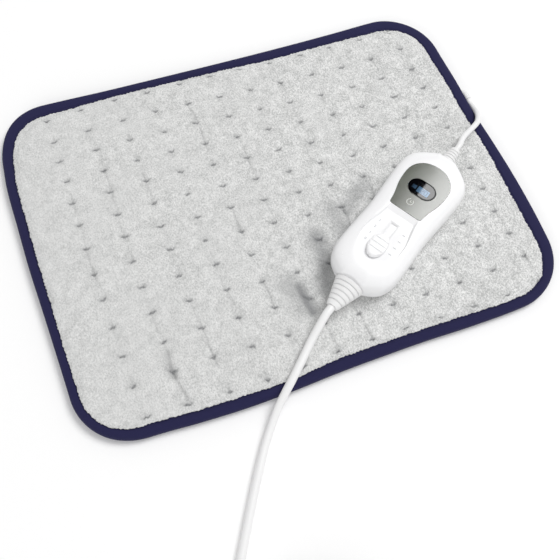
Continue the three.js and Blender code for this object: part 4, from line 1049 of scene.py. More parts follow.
def plain_weave():
    """Over and under threads on a map in metres, for tape and backing cloth."""
    group, given, result = new_group("plain weave", {
        "Map": "Vector", "Threads per Metre": "Float", "Colour": "Color", "Shade": "Float",
    }, {"Colour": "Color", "Height": "Float"})
    spaced = add_node(
        group, "VectorMath", {"operation": "SCALE"}, Vector=given["Map"], Scale=given["Threads per Metre"])
    apart = add_node(group, "SeparateXYZ", Vector=spaced.outputs[0])
    waves = []
    for axis in ("X", "Y"):
        turn = worked_out(group, "MULTIPLY", apart.outputs[axis], math.pi)
        waves.append(worked_out(group, "SINE", turn))
    crossing = worked_out(group, "MULTIPLY", *waves)
    height = add_node(group, "MapRange", Value=crossing, From_Min=-1)
    slub = add_node(group, "TexNoise", Vector=given["Map"], Scale=260, Detail=5)
    depth = worked_out(group, "MULTIPLY_ADD", slub.outputs["Fac"], 0.5, height.outputs["Result"])
    darkest = worked_out(group, "SUBTRACT", 1, given["Shade"])
    tone = add_node(group, "MapRange", Value=depth, From_Max=1.3, To_Min=darkest)
    shade = add_node(
        group, "VectorMath", {"operation": "SCALE"}, Vector=given["Colour"], Scale=tone.outputs["Result"])
    feed(group, result["Colour"], shade.outputs[0])
    feed(group, result["Height"], depth)
    return group


PLAIN_WEAVE = plain_weave()


def woven(name, colour, threads, shade, depth, sheen, coordinates="UV"):
    """A woven cloth material on the piece's own map or on object coordinates."""
    made, tree, shader = new_finish(name, Roughness=0.85, Specular_IOR_Level=0.2, Sheen_Weight=sheen)
    weave = add_node(
        tree, "Group", {"node_tree": PLAIN_WEAVE}, Map=add_node(tree, "TexCoord").outputs[coordinates],
        Colour=linear(*colour), Threads_per_Metre=threads, Shade=shade)
    feed(tree, shader.inputs["Base Color"], weave.outputs["Colour"])
    raise_grain(tree, weave, shader, depth)
    return made


navy_tape = woven("navy tape", (37, 36, 74), 2600, 0.3, 0.00008, 0.03)
binding_tape.data.materials.append(navy_tape)
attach(binding_tape, "pad")
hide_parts("edge_binding")


# Controller shells. Two white moulded halves with a wall all round, screwed together from below. Each is
# lofted from the same two-lobed outline, hollowed, and cut for what it carries.
BODY_LENGTH = 143
BODY_HALF_WIDTH = 29.8
BODY_HEIGHT = 24
PARTING = 11
UPPER_BASE = 11.3
SHELL_WALL = 2.2
SEAT_GAP = 0.3
outline_shares = [
    (0, 0.34), (0.025, 0.58), (0.063, 0.79), (0.12, 0.915), (0.196, 0.953), (0.32, 0.94), (0.455, 0.92),
    (0.594, 0.953), (0.755, 1), (0.84, 0.983), (0.895, 0.895), (0.937, 0.72), (0.972, 0.487), (1, 0.268),
]
underside_shares = [(1, 0), (0.5, 0.09), (0.17, 0.3), (0.02, 0.62), (0, 1)]
crest_shares = [
    (0, 0), (0.01, 0.22), (0.06, 0.45), (0.17, 0.66), (0.36, 0.83), (0.6, 0.94), (0.82, 0.985), (1, 1),
]
body_side = through([
    ((along - 0.5) * BODY_LENGTH, across * BODY_HALF_WIDTH) for along, across in outline_shares
], 6)
body_outline = np.array([*body_side, *(body_side[::-1] * (1, -1))])


def body_ring(inset, height):
    """The controller's outline drawn in by an inset, at a height."""
    share = (1 - inset / (BODY_LENGTH / 2), 1 - inset / BODY_HALF_WIDTH)
    return [(x * share[0], y * share[1], height) for x, y in body_outline]


def lofted(name, rings):
    """A closed body: its rings are laid in turn, bridged one to the next, and closed at both ends."""
    points = [point for ring in rings for point in ring]
    edges = []
    start = 0
    for ring in rings:
        count = len(ring)
        edges += [(start + i, start + (i + 1) % count) for i in range(count)]
        start += count
    made = new_piece(name, points, edges, [])
    bpy.ops.object.mode_set(mode="EDIT")
    bpy.ops.mesh.select_mode(type="EDGE")
    bpy.ops.mesh.select_all(action="SELECT")
    bpy.ops.mesh.bridge_edge_loops()
    bpy.ops.mesh.select_all(action="SELECT")
    bpy.ops.mesh.fill_holes(sides=0)
    bpy.ops.mesh.select_all(action="SELECT")
    bpy.ops.mesh.normals_make_consistent(inside=False)
    bpy.ops.object.mode_set(mode="OBJECT")
    return made


def joined_shape(piece, tool, operation):
    """Cuts, adds or keeps the tool's shape in a piece, and deletes the tool."""
    pick(piece)
    cut = piece.modifiers.new("cut", "BOOLEAN")
    cut.object = tool
    cut.operation = operation
    cut.solver = "EXACT"
    bpy.ops.object.modifier_apply(modifier=cut.name)
    bpy.data.objects.remove(tool)
    return piece


def cut_away(piece, *tools):
    """Cuts the shapes of tools out of a piece."""
    for tool in tools:
        joined_shape(piece, tool, "DIFFERENCE")
    return piece


def round_post(radius, x, y, base, top, sides=32):
    """An upright round post or hole."""
    select_none()
    bpy.ops.mesh.primitive_cylinder_add(
        vertices=sides, radius=radius, depth=top - base, location=(x, y, (base + top) / 2))
    bpy.ops.object.transform_apply(location=True, rotation=True, scale=True)
    return bpy.context.object


def stem_block(size, centre_x, centre_y, base):
    """A square block on its base, such as the knob's stem."""
    select_none()
    bpy.ops.mesh.primitive_cube_add(size=1, location=(centre_x, centre_y, base + size[2] / 2), scale=size)
    bpy.ops.object.transform_apply(location=True, rotation=True, scale=True)
    return bpy.context.object


def neck_hole(radius, end):
    """The hole through the end of the shells that a boot's neck passes."""
    select_none()
    bpy.ops.mesh.primitive_cylinder_add(
        vertices=48, radius=radius + SEAT_GAP, depth=12, rotation=(0, math.pi / 2, 0),
        location=(end * BODY_LENGTH / 2, 0, BOOT_AXIS_HEIGHT), scale=(BOOT_FLATNESS, 1, 1))
    bpy.ops.object.transform_apply(location=True, rotation=True, scale=True)
    return bpy.context.object


def curved_path(start, pieces, steps):
    """Points of an outline of lines and bezier curves, each piece its control points and its end."""
    found = [start]
    for piece in pieces:
        knots = np.array([found[-1], *piece], float)
        if len(knots) == 2:
            found.append(piece[0])
            continue
        for i in range(1, steps + 1):
            level = knots
            while len(level) > 1:
                level = level[:-1] * (1 - i / steps) + level[1:] * (i / steps)
            found.append(tuple(level[0]))
    return found


def shield(flat, end, flat_half, wide_half, corner=2.5, grow=0.0, steps=9):
    """A straight edge with small corners, sides that flare, and a round far end."""
    way = math.copysign(1, end - flat)
    first, last = flat - way * grow, end + way * grow
    low, high = flat_half + grow, wide_half + grow
    widest = flat + 0.64 * (end - flat)
    flare = (first + widest) / 2
    rounding = widest + 0.6 * (last - widest)
    side = curved_path((first, low - corner), [
        ((first, low), (first + way * corner, low)),
        ((flare, low + 0.35 * (high - low)), (flare, high), (widest, high)),
        ((rounding, high), (last, 0.55 * high), (last, 0)),
    ], steps)
    return [*side, *((x, -y) for x, y in reversed(side[:-1]))]


def level_at(outline, height):
    """An outline laid at a height."""
    return [(x, y, height) for x, y in outline]


def upright(name, outline, base, top):
    """A block with upright sides, from its outline and the heights of its base and its top."""
    return lofted(name, [level_at(outline, base), level_at(outline, top)])


def pill(centre, length, width, grow=0.0, sides=20):
    """A pill shape across the controller."""
    radius = length / 2 + grow
    straight = (width - length) / 2
    return [
        (centre + radius * math.cos(end * math.pi + math.pi * i / sides),
         (straight if end == 0 else -straight) + radius * math.sin(end * math.pi + math.pi * i / sides))
        for end in (0, 1) for i in range(sides + 1)
    ]


def soft_edges(piece, width, angle=45, segments=2):
    """Rounds a moulded piece's sharp edges by a small radius."""
    rounding = piece.modifiers.new("rounding", "BEVEL")
    rounding.width = width
    rounding.segments = segments
    rounding.limit_method = "ANGLE"
    rounding.angle_limit = math.radians(angle)
    rounding.harden_normals = False
    apply_all(piece)
    piece.data.update()


def finish_moulding(piece, finish, body, slot, *standing, smooth=40):
    """Shades a controller piece, lays it in its place, hangs it on its body and hides the CAD solids it
    stands in for.
    """
    pick(piece)
    bpy.ops.object.shade_smooth_by_angle(angle=math.radians(smooth))
    even = piece.modifiers.new("even shading", "WEIGHTED_NORMAL")
    even.mode = "FACE_AREA"
    even.keep_sharp = True
    bpy.ops.object.modifier_apply(modifier=even.name)
    settle(piece, CONTROLLER_TURN, CONTROLLER_PLACE)
    piece.data.materials.clear()
    piece.data.materials.append(finish)
    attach(piece, body)
    if standing:
        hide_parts(*standing)
    return piece


UNDERSIDE_INSET = 7
POST_RADIUS = 3.5
SCREW_HEAD_RADIUS = 2.9
SCREW_HEAD_TOP = 3.1
LOWER_BORE_RADIUS = 1.6
UPPER_BORE_RADIUS = 1.5
lower_levels = [
    (UNDERSIDE_INSET * inset, PARTING * height) for inset, height in through(underside_shares, 4)]
lower_hollow_levels = [
    (SHELL_WALL + inset, SHELL_WALL + height * (PARTING - SHELL_WALL) / PARTING)
    for inset, height in lower_levels
]


def body_block(name, levels):
    """The solid body between the controller's lower or upper levels."""
    return lofted(name, [body_ring(*level) for level in levels])


lower_shell = body_block("lower_shell", lower_levels)
cut_away(lower_shell, body_block("lower_hollow", [*lower_hollow_levels, (SHELL_WALL, PARTING + 1)]))
screw_places = [(-58.63, 16.09), (-58.63, -16.09), (56.49, 14.01), (56.49, -14.01)]
for x, y in screw_places:
    sleeve = round_post(POST_RADIUS, x, y, 1, PARTING)
    joined_shape(sleeve, body_block("body", lower_levels), "INTERSECT")
    joined_shape(lower_shell, sleeve, "UNION")
for x, y in screw_places:
    head_hole = round_post(SCREW_HEAD_RADIUS, x, y, -1, SCREW_HEAD_TOP)
    cut_away(lower_shell, head_hole, round_post(LOWER_BORE_RADIUS, x, y, -1, PARTING + 1))
cut_away(lower_shell, neck_hole(MAINS_NECK, -1), neck_hole(PAD_NECK, 1))
soft_edges(lower_shell, 0.25)
shell_white = moulded(
    "white satin shell", (246, 246, 247), 0.3, grain=1300, depth=0.000006, spread=0.05, Coat_Weight=0.15)
finish_moulding(lower_shell, shell_white, "pad", "white_shell", "lower_housing")

INLAY = {"flat": 2, "end": 53.5, "flat_half": 14.6, "wide_half": 19.6}
INLAY_TOP = 24.1
INLAY_BASE = 23.1
PANEL = {"flat": -3, "end": -49.5, "flat_half": 13, "wide_half": 17.6}
PANEL_FLOOR = 21.8
PANEL_THICKNESS = 1.2
PLATE_TOP = 22.4
WINDOW = {"centre": 27.5, "length": 15.4, "width": 23.6}
SLOT_NEAR = -40.5
SLOT_FAR = -11.5
SLOT_WIDTH = 6
CREST_INSET = 13
CREST_WALL = 2.4
BOSS_TOP = 22.6
UPPER_BORE_TOP = 18.5
ABOVE_BODY = 25
upper_levels = [
    (CREST_INSET * inset, UPPER_BASE + height * (BODY_HEIGHT - UPPER_BASE))
    for inset, height in through(crest_shares, 3)
]
hollow_height = (BODY_HEIGHT - CREST_WALL - UPPER_BASE) / (BODY_HEIGHT - UPPER_BASE)
upper_hollow_levels = [
    (SHELL_WALL + inset, UPPER_BASE + (height - UPPER_BASE) * hollow_height)
    for inset, height in upper_levels
]
upper_shell = body_block("upper_shell", [*upper_levels, (CREST_INSET + 0.6, BODY_HEIGHT)])
cut_away(upper_shell, body_block("upper_hollow", [(SHELL_WALL, UPPER_BASE - 1), *upper_hollow_levels]))
backing_plate = upright(
    "backing_plate", shield(**PANEL, grow=SHELL_WALL), PANEL_FLOOR - PANEL_THICKNESS, PLATE_TOP)
joined_shape(upper_shell, backing_plate, "UNION")
for x, y in screw_places:
    boss = round_post(POST_RADIUS, x, y, UPPER_BASE, BOSS_TOP)
    joined_shape(boss, body_block("body", upper_levels), "INTERSECT")
    joined_shape(upper_shell, boss, "UNION")
for x, y in screw_places:
    cut_away(upper_shell, round_post(UPPER_BORE_RADIUS, x, y, UPPER_BASE - 1, UPPER_BORE_TOP))


def panel_ring(rise, grow, height):
    """The sunk panel's outline: its straight edge slopes up towards the inlay, its sides stand steep."""
    return level_at(shield(**{**PANEL, "flat": PANEL["flat"] + rise}, grow=grow), height)


def slot_ring(end_out, side_out, height):
    """The slot's outline at a height, its far end and its sides let out by two amounts."""
    last, half = SLOT_FAR + end_out, SLOT_WIDTH / 2 + side_out
    return level_at([(SLOT_NEAR, -half), (last, -half), (last, half), (SLOT_NEAR, half)], height)


panel_levels = [
    (0, -0.35, PANEL_FLOOR), (0.1, -0.1, PANEL_FLOOR + 0.1), (0.45, 0.08, PANEL_FLOOR + 0.35),
    (2.6, 0.2, PANEL_FLOOR + 1.3), (3.7, 0.32, 23.55), (4.2, 0.5, 23.8), (4.7, 0.8, 24), (5.2, 1.1, 24.4),
]
slot_levels = [(0, -0.15, 19), (0, -0.15, 20.7), (1.2, 1.3, PANEL_FLOOR), (1.2, 1.3, ABOVE_BODY)]
panel_cut = lofted("panel_cut", [panel_ring(*level) for level in panel_levels])
inlay_seat = upright("inlay_seat", shield(**INLAY, grow=0.14), INLAY_BASE - 0.2, ABOVE_BODY)
window_hole = upright("window_hole", pill(**WINDOW, grow=0.3), 18, ABOVE_BODY + 1)
slot_cut = lofted("slot_cut", [slot_ring(*level) for level in slot_levels])
cut_away(upper_shell, panel_cut, inlay_seat, window_hole, slot_cut)
cut_away(upper_shell, neck_hole(MAINS_NECK, -1), neck_hole(PAD_NECK, 1))
soft_edges(upper_shell, 0.22)
finish_moulding(upper_shell, shell_white, "pad", "white_shell", "upper_housing")


# Inlay. A thin satin grey-green plate let into the upper shell, with a pill-shaped opening for the window
# and a small printed clock, plain and of no maker.
inlay_plate = upright("inlay_plate", shield(**INLAY), INLAY_BASE, INLAY_TOP)
cut_away(inlay_plate, upright("window_hole", pill(**WINDOW, grow=0.28), 22, ABOVE_BODY))
soft_edges(inlay_plate, 0.16)
inlay_paint = moulded(
    "grey-green satin", (86, 90, 80), 0.1, grain=2200, cloudiness=0.05, depth=0.000004, spread=0.05,
    Specular_IOR_Level=0.95)
finish_moulding(inlay_plate, inlay_paint, "pad", "grey_green", "face_inlay", smooth=30)

ICON_PLACE = (11.9, 1.3)
ICON_RADIUS = 2.7
RING_WIDTH = 0.42
HAND_WIDTH = 0.36
PRINT_HEIGHT = 0.05


def printed(name, outlines, base, finish, slot="white_cord"):
    """Thin print: each flat outline is given its small height and all are one piece."""
    points, faces = [], []
    for outline in outlines:
        start, count = len(points), len(outline)
        points += [*level_at(outline, base), *level_at(outline, base + PRINT_HEIGHT)]
        faces.append(tuple(range(start + count, start + 2 * count)))
        faces.append(tuple(reversed(range(start, start + count))))
        for i in range(count):
            low, after = start + i, start + (i + 1) % count
            faces.append((low, after, after + count, low + count))
    made = new_piece(name, points, [], faces)
    face_outwards()
    return finish_moulding(made, finish, "pad", slot)


def stroke(x0, y0, x1, y1, width):
    """The outline of a straight printed stroke."""
    run = Vector((x1 - x0, y1 - y0))
    side = Vector((-run.y, run.x)).normalized() * width / 2
    return [
        (x0 - side.x, y0 - side.y), (x1 - side.x, y1 - side.y),
        (x1 + side.x, y1 + side.y), (x0 + side.x, y0 + side.y),
    ]


def arc_stroke(x, y, radius, first, last, width, steps=28):
    """The outline of a printed arc, its angles in degrees."""
    angles = [math.radians(first + (last - first) * i / steps) for i in range(steps + 1)]
    inner, outer = (
        [(x + reach * math.cos(angle), y + reach * math.sin(angle)) for angle in angles]
        for reach in (radius - width / 2, radius + width / 2)
    )
    return [*outer, *reversed(inner)]


icon_x, icon_y = ICON_PLACE
clock = [
    arc_stroke(icon_x, icon_y, ICON_RADIUS, 30, 330, RING_WIDTH),
    stroke(icon_x, icon_y, icon_x + 1.7, icon_y, HAND_WIDTH),
    stroke(icon_x, icon_y + 0.1, icon_x, icon_y - 1.35, HAND_WIDTH),
    stroke(icon_x + 2.0, icon_y + 1.75, icon_x + 3.15, icon_y + 1.1, RING_WIDTH),
    stroke(icon_x + 2.65, icon_y + 0.75, icon_x + 2.4, icon_y + 1.9, RING_WIDTH),
]
print_white = moulded("white print", (226, 229, 222), 0.5, depth=0.00001)
printed("inlay_icon", clock, INLAY_TOP, print_white)

# Window. A smoked pill-shaped lens, a little proud of the inlay, with a small lit display behind its gloss:
# pale blue fields that show a plain number.
LENS_BASE = 21.3
LENS_TOP = 24.3
lens_levels = [
    (0, LENS_BASE), (0, LENS_TOP - 0.22), (-0.07, LENS_TOP - 0.07), (-0.22, LENS_TOP), (-0.7, LENS_TOP)]
window_lens = lofted("window_lens", [
    level_at(pill(**WINDOW, grow=grow), height) for grow, height in lens_levels])


def lit_field():
    """One lit or dark field of the display: 1 inside a rectangle, 0 outside it, with a soft edge."""
    group, given, result = new_group("display field", {
        "Place": "Vector", "Centre": "Vector", "Half Size": "Vector", "Edge": "Float",
    }, {"Mask": "Float"})
    away = worked_out(group, "SUBTRACT", given["Place"], given["Centre"], kind="VectorMath")
    size = worked_out(group, "ABSOLUTE", away, kind="VectorMath")
    beyond = worked_out(group, "SUBTRACT", size, given["Half Size"], kind="VectorMath")
    apart = add_node(group, "SeparateXYZ", Vector=beyond)
    farthest = worked_out(group, "MAXIMUM", apart.outputs["X"], apart.outputs["Y"])
    mask = add_node(group, "MapRange", Value=farthest, From_Min=given["Edge"], From_Max=0)
    feed(group, result["Mask"], mask.outputs["Result"])
    return group


LIT_FIELD = lit_field()
lens_finish, tree, lens_shader = new_finish(
    "smoked lens with display", Specular_IOR_Level=0.5, Emission_Strength=0.03)
lens_object = add_node(tree, "TexCoord").outputs["Object"]
lens_place = add_node(
    tree, "Mapping", {"vector_type": "TEXTURE"}, Vector=lens_object, Location=CONTROLLER_PLACE * MM,
    Rotation=(0, 0, CONTROLLER_TURN), Scale=(MM, MM, MM)).outputs["Vector"]


def field_mask(centre, half_size, edge):
    """The mask of one rectangle of the display, in the controller's own millimetres."""
    field = add_node(
        tree, "Group", {"node_tree": LIT_FIELD}, Place=lens_place, Centre=(*centre, 0),
        Half_Size=(*half_size, 0), Edge=edge)
    return field.outputs["Mask"]


def together(masks):
    """The largest of several masks at each point."""
    found = masks[0]
    for mask in masks[1:]:
        found = worked_out(tree, "MAXIMUM", found, mask)
    return found


LIT_EDGE = 0.3
STROKE_EDGE = 0.1
lit_fields = [((26.1, -1.9), (2.7, 5.0)), ((26.2, 6.35), (1.7, 1.75))]
digit_strokes = [
    ((27.9, -1.2), (0.2, 0.95)), ((26.1, -1.2), (0.2, 0.95)), ((24.3, -1.2), (0.2, 0.95)),
    ((27.0, -2.3), (0.8, 0.2)), ((25.2, -0.1), (0.8, 0.2)),
    ((27.9, -4.4), (0.2, 0.95)), ((24.3, -4.4), (0.2, 0.95)),
    ((26.1, -3.3), (1.7, 0.2)), ((26.1, -5.5), (1.7, 0.2)),
    ((26.9, 6.35), (0.16, 1.1)), ((25.6, 6.35), (0.16, 1.1)),
]
lit = together([field_mask(*place, LIT_EDGE) for place in lit_fields])
dark = together([field_mask(*place, STROKE_EDGE) for place in digit_strokes])
# Painted glare: the lit fields are painted dim towards +Y and bright towards -Y, as the key lamp's
# reflection brightens one half of the lens.
lit_across = add_node(tree, "SeparateXYZ", Vector=lens_place).outputs["Y"]
painted_glare_level = add_node(tree, "MapRange", Value=lit_across, From_Min=7, From_Max=-4, To_Min=0.1, To_Max=1)
display_with_painted_glare = add_node(
    tree, "VectorMath", {"operation": "SCALE"}, Vector=linear(100, 138, 172)[:3],
    Scale=painted_glare_level.outputs["Result"])
glow = add_node(
    tree, "Mix", {"data_type": "RGBA"}, Factor=lit, A=linear(6, 6, 9), B=display_with_painted_glare.outputs[0])
shown = add_node(
    tree, "Mix", {"data_type": "RGBA"}, Factor=worked_out(tree, "MULTIPLY", lit, dark),
    A=glow.outputs["Result"], B=linear(58, 82, 112))
feed(tree, lens_shader.inputs["Base Color"], shown.outputs["Result"])
feed(tree, lens_shader.inputs["Emission Color"], shown.outputs["Result"])
lens_dust = add_node(tree, "TexNoise", Vector=lens_object, Scale=900)
lens_gloss = add_node(
    tree, "MapRange", Value=lens_dust.outputs["Fac"], From_Min=0.5, From_Max=0.8, To_Min=0.02, To_Max=0.05)
feed(tree, lens_shader.inputs["Roughness"], lens_gloss.outputs["Result"])
finish_moulding(window_lens, lens_finish, "pad", "smoked", "display_window")


# Slider. An oval white knob with three finger grooves, moulded with the stem that passes the slot. It
# slides from its lower stop past three more places, each with a printed number beside it.
KNOB_PLACE = -36.2
KNOB_LENGTH = 22.5
KNOB_WIDTH = 15
KNOB_BASE = 22.1
KNOB_HEIGHT = 3.5
GRIP_RADIUS = 0.95
GRIP_PITCH = 4.8
GRIP_RISE = 0.32
STEM_SIZE = (8, 5.4, 4.7)
STEM_BASE = 18.5
LEVELS = 4
LEVEL_PITCH = 6.8
NUMBER_SIZE = 3
NUMBER_SIDE = 11.3
TICK_NEAR = -10.2
TICK_FAR = -12.6
TICK_WIDTH = 0.45
knob_shares = [(1, 0), (1, 0.5), (0.985, 0.72), (0.94, 0.88), (0.86, 0.97), (0.76, 1), (0.7, 1)]


def knob_ring(share, height, sides=64):
    """The knob's oval, drawn in by an even width all round."""
    drawn_in = (1 - share) * KNOB_WIDTH / 2
    return [
        (KNOB_PLACE + (KNOB_LENGTH / 2 - drawn_in) * math.cos(a), (KNOB_WIDTH / 2 - drawn_in) * math.sin(a),
         KNOB_BASE + height * KNOB_HEIGHT)
        for a in (2 * math.pi * i / sides for i in range(sides))
    ]


knob = lofted("knob", [knob_ring(*share) for share in knob_shares])
for grip in (-1, 0, 1):
    select_none()
    bpy.ops.mesh.primitive_cylinder_add(
        vertices=24, radius=GRIP_RADIUS, depth=KNOB_WIDTH + 4, rotation=(math.pi / 2, 0, 0),
        location=(KNOB_PLACE + grip * GRIP_PITCH, 0, KNOB_BASE + KNOB_HEIGHT + GRIP_RISE))
    bpy.ops.object.transform_apply(location=True, rotation=True, scale=True)
    cut_away(knob, bpy.context.object)
joined_shape(knob, stem_block(STEM_SIZE, KNOB_PLACE, 0, STEM_BASE), "UNION")
soft_edges(knob, 0.14)
finish_moulding(knob, shell_white, "slider", "white_shell", "slider_knob")


def number_mesh(number, size):
    """A plain printed number, of the print's small height, read across the controller."""
    text = bpy.data.curves.new(f"number {number}", "FONT")
    text.body = str(number)
    text.size = size
    text.align_x = "CENTER"
    text.align_y = "CENTER"
    text.extrude = PRINT_HEIGHT
    made = bpy.data.objects.new(f"level_number_{number}", text)
    scene.collection.objects.link(made)
    pick(made)
    bpy.ops.object.convert(target="MESH")
    return bpy.context.object


print_grey = moulded("grey print", (176, 178, 182), 0.5, depth=0.00001)
level_places = [KNOB_PLACE + number * LEVEL_PITCH for number in range(LEVELS)]
for number, place in enumerate(level_places):
    mark = number_mesh(number, NUMBER_SIZE)
    beside_slot = Matrix.Translation((place, NUMBER_SIDE, PANEL_FLOOR))
    mark.data.transform(beside_slot @ Matrix.Rotation(-math.pi / 2, 4, "Z"))
    finish_moulding(mark, print_grey, "pad", "grey_green")
ticks = [stroke(place, TICK_NEAR, place, TICK_FAR, TICK_WIDTH) for place in level_places]
printed("level_ticks", ticks, PANEL_FLOOR, print_grey, slot="grey_green")


# Backing. One plain pale woven cloth under the wadding, laid flat on the floor. Its raw rim rises into the
# binding, and the stitches of the tufts pull small pits into it.
BACKING_INSET = 12
PIT_REACH = 3.4
PIT_DEPTH = 0.62
DRAWN_REACH = 2.4
DRAWN_DEPTH = 0.16
LOOSE_DEPTH = 0.1
backing_columns = grid_lines(TUFT_SHIFT[0], TUFT_PITCH_X, TUFT_COLUMNS, 10, PAD_LENGTH / 2 - BACKING_INSET)
backing_rows = grid_lines(TUFT_SHIFT[1], TUFT_PITCH_Y, TUFT_ROWS, 8, PAD_WIDTH / 2 - BACKING_INSET)
backing_rings = [
    (11.2, 0.1), (10.3, 0.5), (9.3, 1.05), (8.3, 1.31), (2.95, 1.34), (2.95, 1.8), (8.3, 1.85), (9.8, 1.6),
    (11.1, 1.15), (14, 0.95),
]
backing_cloth, backing_field = pad_panel(
    "backing_cloth", backing_columns, backing_rows, BACKING_INSET, 0.03, backing_rings)
close_panel(backing_cloth)
laid = points_of(backing_cloth)
x, y = laid[:, 0], laid[:, 1]
number, away = nearest_tuft(laid)
pit = np.exp(-(np.hypot(away[:, 0], away[:, 1]) / PIT_REACH) ** 2)
drawn = np.exp(-(away[:, 0] / DRAWN_REACH) ** 2) * (0.5 + 0.5 * lattice_noise(21, x, y, 31))
lifted = PIT_DEPTH * pit + DRAWN_DEPTH * drawn + LOOSE_DEPTH * (1 + lattice_noise(22, x, y, 13))
is_field = np.arange(len(laid)) < backing_field
within = np.clip((to_outline(x, y) - BACKING_INSET) / 4, 0, 1)
laid[:, 2] += np.where(is_field, lifted * within, 0)
move_points(backing_cloth, bowed(drifted(laid)) * MM)
backing_cloth.data.shade_smooth()
backing_weave = woven("pale backing cloth", (203, 203, 202), 1500, 0.2, 0.00007, 0.08, "Object")
backing_cloth.data.materials.append(backing_weave)
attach(backing_cloth, "pad")
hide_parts("bottom_cover")


# Stitches. Grey thread holds every tuft through the pad, in a few short turns above and below. Navy thread
# runs round the binding near its inner edge and catches both covers.
def thread_mesh(name, strands, sides=6):
    """Short rounded stitches as one piece, each from its points and its thickness along them."""
    points, faces = [], []
    for line, thickness in strands:
        line = np.array(line, float)
        run = line[-1] - line[0]
        across = np.array([-run[1], run[0], 0]) / max(math.hypot(run[0], run[1]), 1e-6)
        first = len(points)
        for place, radius in zip(line, thickness):
            for k in range(sides):
                angle = 2 * math.pi * k / sides
                way = math.cos(angle) * across + np.array([0, 0, math.sin(angle)])
                points.append(place + radius * way)
        for i in range(len(line) - 1):
            for k in range(sides):
                low, high = first + i * sides, first + (i + 1) * sides
                faces.append((low + k, low + (k + 1) % sides, high + (k + 1) % sides, high + k))
        last = first + (len(line) - 1) * sides
        faces += [tuple(range(first, first + sides)), tuple(reversed(range(last, last + sides)))]
    made = new_piece(name, [tuple(point) for point in points], [], faces)
    face_outwards()
    made.data.shade_smooth()
    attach(made, "pad")
    return settle(made)


THREAD = 0.21
THREAD_SPACING = 2.1 * THREAD
THREAD_THICKNESS = [THREAD * 0.8, THREAD, THREAD, THREAD, THREAD * 0.8]
THREAD_TURN = 1.5
THREAD_RISE = 0.28
THREAD_SINK = 0.3
UNDER_HEIGHT = 0.42
upper_points = shaped[top_side]
strands = []
for tuft, place in enumerate(tufts):
    centre = np.array(place) + nick_shift[tuft]
    turn = nick_turn[tuft]
    run = np.array([math.cos(turn), math.sin(turn)])
    side = np.array([-run[1], run[0]])
    near = upper_points[np.hypot(upper_points[:, 0] - centre[0], upper_points[:, 1] - centre[1]) < 1.6]
    depth = float(near[:, 2].min()) if len(near) else PLUSH_BASE
    for k in range(3):
        middle = centre + (k - 1) * THREAD_SPACING * side
        half = (THREAD_TURN + 0.25 * (k % 2)) * nick_size[tuft]
        way = half * run + chance.uniform(-0.12, 0.12) * side
        line = np.array([
            (*(middle + share * way), depth + THREAD_RISE * (1 - share ** 4) - THREAD_SINK * share ** 4)
            for share in (-1, -0.55, 0, 0.55, 1)
        ])
        strands.append((bowed(drifted(line)), THREAD_THICKNESS))
    for k in range(2):
        middle = np.array(place) + (k - 0.5) * THREAD_SPACING * side
        line = np.array([
            (*(middle + share * THREAD_TURN * run), UNDER_HEIGHT + THREAD_SINK * share ** 4)
            for share in (-1, -0.5, 0, 0.5, 1)
        ])
        strands.append((bowed(drifted(line)), THREAD_THICKNESS))
tuft_stitches = thread_mesh("tuft_stitches", strands)
grey_thread = moulded("grey thread", (172, 173, 174), 0.8, grain=5000, cloudiness=0.2, depth=0.00005)
tuft_stitches.data.materials.append(grey_thread)

STITCH_INSET = 7.3
STITCH_PITCH = 3.2
STITCH_REACH = 2.3
STITCH_SINK = 0.22
UPPER_STITCH = (7.78, 0.06, 0.2)
UNDER_STITCH = (0.11, 0, 0.1)
seam = []
stitch_count = round(pad_perimeter / STITCH_PITCH)
for i in range(stitch_count):
    distance = i / stitch_count * pad_perimeter
    for height, arch, radius in (UPPER_STITCH, UNDER_STITCH):
        line = []
        for share in (-0.5, -0.25, 0.25, 0.5):
            lap = max(float(lap_at(distance + share * STITCH_REACH)), 0) if arch else 0
            sunk = STITCH_SINK if arch and abs(share) == 0.5 else 0
            x, y = rim_point(distance + share * STITCH_REACH, STITCH_INSET + lap)
            line.append((x, y, height + arch - sunk))
        seam.append((bowed(np.array(line)), [radius * 0.7, radius, radius, radius * 0.7]))
binding_stitches = thread_mesh("binding_stitches", seam)
navy_thread = moulded("navy thread", (32, 31, 68), 0.85, grain=5000, cloudiness=0.2, depth=0.00004)
binding_stitches.data.materials.append(navy_thread)


# Sleeve in the seam. Soft white, moulded round the thin cord: it comes in along the pad's edge, bends
# inwards, turns flat and goes through a gap that is cut into the binding's fold for it.
SLEEVE_RADIUS = 3.5
SLEEVE_BEND = 6
SLEEVE_STRAIGHT = 5
SEAM_HALF_WIDTH = 2.3
SEAM_HALF_HEIGHT = 1.4
SEAM_HEIGHT = 4
SLEEVE_STEPS = 44
MOUTH_LENGTH = 0.45
MOUTH_SHARE = 0.9
TAPER_LENGTH = 6
GROOVES_START = 1.2
GROOVES_END = 8.6
SLEEVE_GROOVE_PITCH = 1.9
SLEEVE_GROOVE_WIDTH = 0.55
SLEEVE_GROOVE_SHARE = 0.13


